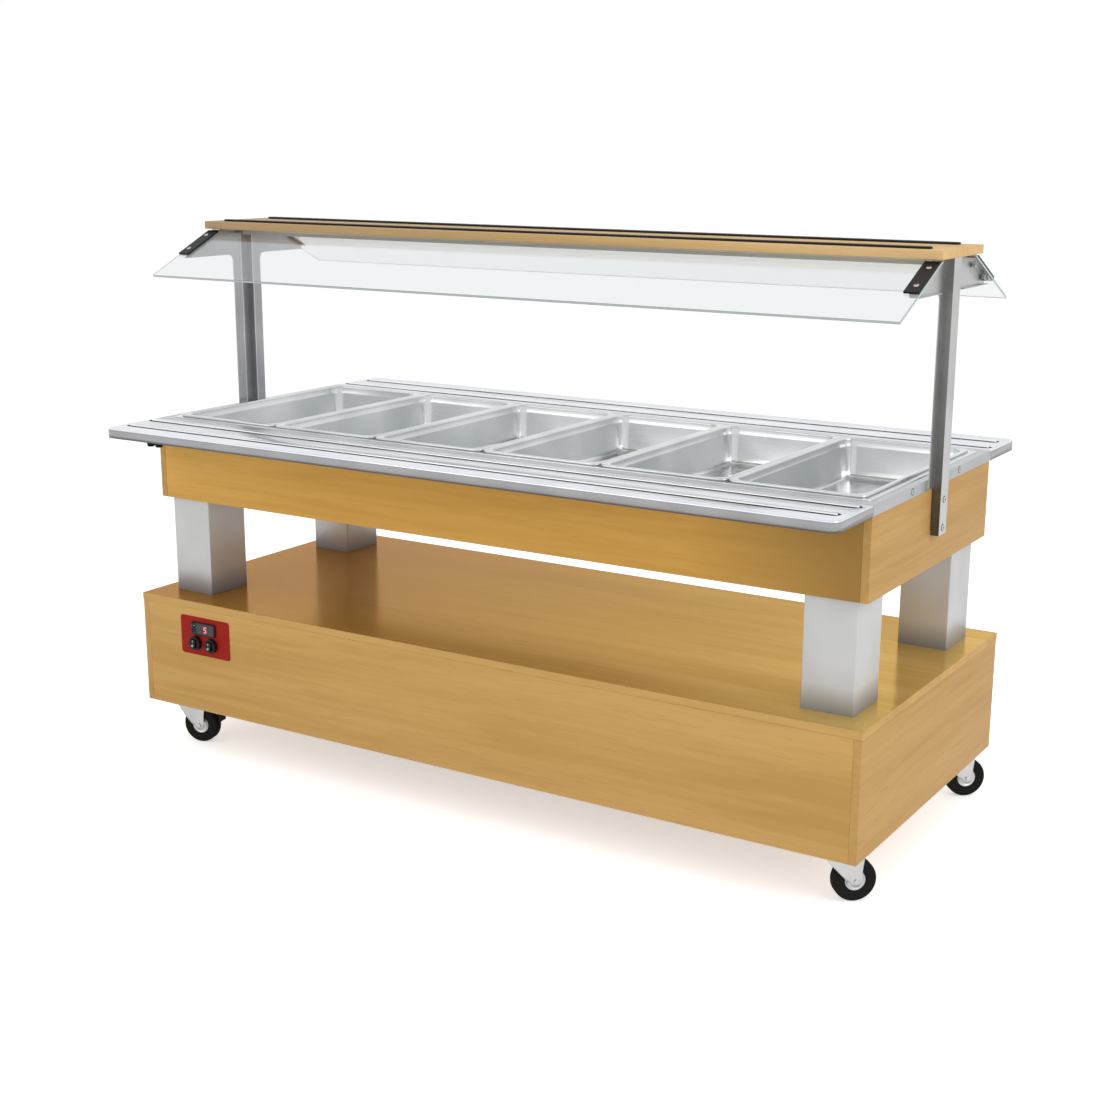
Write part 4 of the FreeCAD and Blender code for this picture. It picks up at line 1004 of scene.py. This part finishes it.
# %% Rockers and their marks
def face_depth(z):
    """The dished face: 6.3 mm in front of the pivot at the middle, 8.5 mm at 11 mm above or below it."""
    return -0.0063 - 0.0022 * (np.asarray(z) / 0.011) ** 2


def rocker_outline():
    """The dished front from bottom to top, then the round back, as (y, z) pairs, counter-clockwise."""
    z = np.linspace(0.011, -0.011, 17)
    front = np.stack([face_depth(z), z], -1)
    return np.concatenate([front, [(0.0, -0.0114), (0.0035, -0.008), (0.0035, 0.008), (0.0, 0.0114)]])


def on_face(z):
    """A place on the dished face, turned so that its height points out of the face."""
    lean = math.degrees(math.atan(-0.0044 * z / 0.011 ** 2))
    return moved(0, float(face_depth(z)) - 0.00005, z) @ spun(-lean, "X") @ UPRIGHT


ring_mark = lathe([(0.0030, 0.0), (0.0030, 0.0002), (0.0018, 0.0002), (0.0018, 0.0)], 32, closed=True)
bar_mark = block((-0.0007, -0.0028, 0.0), (0.0007, 0.0028, 0.0002), 0.00005, 0.0003)
marks = joined(placed(bar_mark, on_face(0.0058)), placed(ring_mark, on_face(-0.0058)))
for name, x in SWITCHES.items():
    tilted = moved(x, COLLAR_FACE + 0.002, SWITCH_HEIGHT) @ spun(-7, "X")
    body = name + "_rocker"
    shape = placed(prism(rocker_outline(), -0.008, 0.008, "x"), tilted)
    bevelled(piece(body + "_moulded", shape, black_abs, body, name + "_switch_rocker"), 0.0005)
    piece(body + "_marks", placed(marks, tilted), mark_white, body)

# %% [markdown]
# ## Casters
# A fork pressed from 3 mm sheet swivels under a plate and holds a rubber tyre on a pressed steel disc.
# The wheel's parts are turned shapes. The arm is a sheet over a grid: across it runs the distance from
# the swivel axis, and down it from the crown to a lower edge. Towards the front the sheet bends in.

# %% Wheels
AXLE_HEIGHT = 0.050
TRAIL = 0.042
CASTER_TURNS = {"front_left": 14}  # degrees; the other three stand at 42
AT_AXLE = moved(TRAIL, 0, AXLE_HEIGHT) @ UPRIGHT
TYRE_WALL = [(0.0242, 0.0), (0.0242, 0.0140), (0.0252, 0.0152), (0.0280, 0.0158), (0.0400, 0.0158)]
HUB = [(0.0050, 0.0176), (0.0105, 0.0178), (0.0118, 0.0170), (0.0120, 0.0142), (0.0135, 0.0128)]
HUB += [(0.0180, 0.0122), (0.0200, 0.0134), (0.0218, 0.0146), (0.0232, 0.0146), (0.0240, 0.0136)]


def caster_place(corner):
    """The matrix that sets a caster, drawn with its trail along +X, on its swivel axis."""
    side_x, side_y = CORNERS[corner]
    return moved(side_x * CASTER_X, side_y * CASTER_Y, 0) @ spun(CASTER_TURNS.get(corner, 42), "Z")


def tyre_profile():
    """Half a section: inner edge, stepped side wall, a 7 mm shoulder and the tread; then mirrored."""
    t = np.linspace(0, np.pi / 2, 7)
    shoulder = np.stack([0.043 + 0.007 * np.sin(t), 0.009 + 0.007 * np.cos(t)], -1)
    half = np.concatenate([TYRE_WALL, shoulder])
    return np.concatenate([half, half[::-1] * (1, -1)])[:-1]


hub_profile = np.concatenate([np.array(HUB)[::-1] * (1, -1), HUB])
tyre = placed(lathe(tyre_profile(), 72, closed=True), AT_AXLE)
hub = placed(lathe(hub_profile, 72, closed=True), AT_AXLE)
for corner in CORNERS:
    body = "wheel_" + corner
    piece("tyre_" + corner, placed(tyre, caster_place(corner)), tyre_rubber, body, "caster_wheel_" + corner)
    piece("hub_" + corner, placed(hub, caster_place(corner)), zinc_steel, body)

# %% Fork arms
ARM_TOP = 0.1115
ARM_START = -0.024
ARM_BENDS_AT = 0.006
ARM_SPANS = ((ARM_START, 0.0315, 26), (0.0330, 0.0548, 16), (0.0552, 0.0605, 8))


def arm_lower_edge(u):
    """Height of the lower edge: a slope, a circle of 13 mm round the axle, then a curve upwards."""
    slope = 0.1000 - (u - ARM_START) * (0.1000 - 0.0410) / (0.031 - ARM_START)
    circle = AXLE_HEIGHT - np.sqrt(np.maximum(0.013 ** 2 - (u - TRAIL) ** 2, 0.0))
    rise = AXLE_HEIGHT + 0.060 * np.clip((u - 0.0548) / 0.0060, 0, 1) ** 0.5
    return np.where(u < 0.0315, np.maximum(slope, circle), np.where(u < 0.0548, circle, rise))


def arm_sheet():
    """A grid of (u, t): u along the trail, t from the lower edge to the top; the sheet's distance from the
    middle is 22 mm, and falls by 0.25 of the distance in front of the bend."""
    u = np.concatenate([np.linspace(*span) for span in ARM_SPANS])
    t = np.linspace(0, 1, 9)
    low = arm_lower_edge(u)
    z = low[None, :] + t[:, None] * (ARM_TOP - low)[None, :]
    v = 0.022 - 0.25 * np.maximum(ARM_BENDS_AT - u, 0)
    grid = np.stack(np.broadcast_arrays(u[None, :], v[None, :], z), -1)
    index = np.arange(grid[..., 0].size).reshape(grid.shape[:2])
    quads = np.stack([index[:-1, :-1], index[1:, :-1], index[1:, 1:], index[:-1, 1:]], -1)
    return grid.reshape(-1, 3), quads.reshape(-1, 4).tolist()


# %% Fork crown and axle
DISC = [(0.0285, 0.108), (0.030, 0.1092), (0.030, 0.1118), (0.0292, 0.1127), (0.0061, 0.1127)]
AXLE = [(0.0030, -0.0260), (0.0052, -0.0256), (0.0060, -0.0242), (0.0060, -0.0221), (0.0048, -0.0220)]
AXLE += [(radius, -reach) for radius, reach in AXLE[::-1]]
crown = block((-0.020, -0.0195, 0.108), (0.058, 0.0195, 0.1110), 0.0008, 0.004)
crown_set = joined(crown, lathe(DISC), placed(lathe(AXLE, 32), AT_AXLE))
both_arms = joined(arm_sheet(), placed(arm_sheet(), mirrored(y=-1)))
for corner in CORNERS:
    body = "fork_" + corner
    here = caster_place(corner)
    arms = piece("fork_arms_" + corner, placed(both_arms, here), zinc_steel, body, "caster_fork_" + corner)
    walled(arms, 0.003)
    piece("fork_crown_" + corner, placed(crown_set, here), zinc_steel, body)

# %% [markdown]
# The two left casters have a brake: a black pedal between two ears of the fork, with a steel strip
# along its side.

# %% Brake pedals
PEDAL = [(0.0660, 0.1055), (0.0640, 0.0990), (0.0760, 0.0962), (0.0930, 0.0868), (0.0975, 0.0820)]
PEDAL += [(0.1010, 0.0640), (0.1056, 0.0640), (0.1068, 0.0835), (0.1035, 0.0925), (0.0960, 0.0968)]
PEDAL += [(0.0780, 0.1045), (0.0730, 0.1067)]
STRIP = [(0.0765, 0.0955), (0.0932, 0.0862), (0.0940, 0.0878), (0.0773, 0.0972)]
EAR = [(0.056, 0.110), (0.056, 0.096), (0.066, 0.0935), (0.076, 0.0955), (0.0795, 0.101), (0.0765, 0.108)]
EAR.append((0.074, 0.110))


def side_view(points, low, high):
    """An outline of (distance along the trail, height) pairs carried across the caster; a shoelace sum of
    its area tells which way round it runs."""
    ring = np.array(points)[:, ::-1]
    area = np.sum(ring[:, 0] * np.roll(ring[:, 1], -1) - np.roll(ring[:, 0], -1) * ring[:, 1])
    return prism(ring if area > 0 else ring[::-1], low, high, "y")


pin = placed(lathe([(0.0030, -0.0240), (0.0030, 0.0240)], 24), moved(0.070, 0, 0.101) @ UPRIGHT)
ear_pair = joined(side_view(EAR, 0.019, 0.022), side_view(EAR, -0.022, -0.019), pin)
pedal_parts = (
    ("pedal_pad_", side_view(PEDAL, -0.015, 0.015), pedal_nylon, "pedal_", 0.0012, 3),
    ("pedal_strip_", side_view(STRIP, -0.0155, 0.0155), zinc_steel, "pedal_", 0, 0),
    ("fork_ears_", ear_pair, zinc_steel, "fork_", 0.0005, 2),
)
for corner in ("front_left", "back_left"):
    for name, shape, material, body, round_edge, segments in pedal_parts:
        node = "brake_pedal_" + corner if name == "pedal_pad_" else None
        part = piece(name + corner, placed(shape, caster_place(corner)), material, body + corner, node)
        if round_edge:
            bevelled(part, round_edge, segments)

# %% [markdown]
# ## The frame's own pieces
# The cooling machine, the pipes, the liner and the swivel plates keep the frame's shapes.

# %% Finishes for the frame's own pieces
FINISHES = {
    "pan_support_bars": pan_steel,
    "well_insulation": liner_foam,
    "compressor": black_enamel,
    "condenser_unit": fin_aluminium,
    "condenser_fan": black_abs,
    "cooling_pipework": drawn_copper,
    "caster_top_plates": zinc_steel,
}
for node, material in FINISHES.items():
    materials = frame["nodes"][node].data.materials
    materials.clear()
    materials.append(material)
shown = [thing for thing in bpy.data.objects if thing.type == "MESH" and not thing.hide_render]
print("shown meshes:", len(shown))

# %% [markdown]
# ## Floor and light
# The floor is matt white and keeps the soft shadow under the plinth. For rays that reach it from the
# camera, or by way of metal or glass, it also glows a little, which lifts it to white without putting
# more light on the object. The world does the same. Near the object the floor glows more, painted
# light that makes its shadow paler.

# %% Floor
FLOOR_REACH = 60.0
NEAR, FAR = 2.5, 7.0  # metres from the object, where the glow starts and ends its change
# The stronger glow near the object is painted light, which makes the shadow paler.
NEAR_GLOW, FAR_GLOW = 0.52, 0.28
MIRRORED_GLOW = 0.4


def seen_directly(tree, in_mirrors=1.0):
    """1 for rays from the camera or through glass, a share of it in mirrors, and 0 for the rest."""
    rays = add(tree, "LightPath").outputs
    straight = {0: rays["Is Camera Ray"], 1: rays["Is Transmission Ray"]}
    straight = add(tree, "Math", straight, operation="MAXIMUM").outputs[0]
    mirror = {0: rays["Is Glossy Ray"], 1: in_mirrors}
    mirror = add(tree, "Math", mirror, operation="MULTIPLY").outputs[0]
    return add(tree, "Math", {0: straight, 1: mirror}, operation="MAXIMUM").outputs[0]


floor_mesh = bpy.data.meshes.new("floor")
floor_corners = [(x * FLOOR_REACH, y * FLOOR_REACH, 0) for x, y in ((-1, -1), (1, -1), (1, 1), (-1, 1))]
floor_mesh.from_pydata(floor_corners, [], [(0, 1, 2, 3)])
floor = linked("floor", floor_mesh)
WHITE = {"Base Color": colour("#FCFCFC"), "Roughness": 0.9, "Emission Color": colour("#FFFFFF")}
floor_paint, tree, shader = new_material("floor_paint", **WHITE)
floor_mesh.materials.append(floor_paint)
distance = add(tree, "VectorMath", {0: object_place(tree)}, operation="LENGTH").outputs["Value"]
lift = {0: ranged(tree, distance, NEAR_GLOW, FAR_GLOW, NEAR, FAR), 1: seen_directly(tree, MIRRORED_GLOW)}
lift = add(tree, "Math", lift, operation="MULTIPLY")
tree.links.new(lift.outputs["Value"], shader.inputs["Emission Strength"])

# %% World and lamps
WORLD_LIGHT = 0.74
world = bpy.data.worlds.new("studio")
bpy.context.scene.world = world
world.use_nodes = True
tree = world.node_tree
tree.nodes.clear()
strength = ranged(tree, seen_directly(tree), WORLD_LIGHT, 1.0)
shine = add(tree, "Background", {"Color": colour("#FFFFFF"), "Strength": strength})
add(tree, "OutputWorld", {"Surface": shine.outputs["Background"]})


def soft_lamp(name, place, target, size, watts):
    """A square lamp that faces a target; a large one gives soft shadows."""
    data = bpy.data.lights.new(name, "AREA")
    data.energy = watts
    data.size = size
    facing = (Vector(target) - Vector(place)).to_track_quat("-Z", "Y").to_matrix().to_4x4()
    linked(name, data).matrix_world = moved(*place) @ facing


soft_lamp("key_lamp", (5.0, -1.2, 3.6), (0.2, 0.0, 0.6), 2.5, 55.0)
soft_lamp("fill_lamp", (-2.5, -4.5, 3.5), (0.0, 0.0, 0.6), 3.0, 30.0)
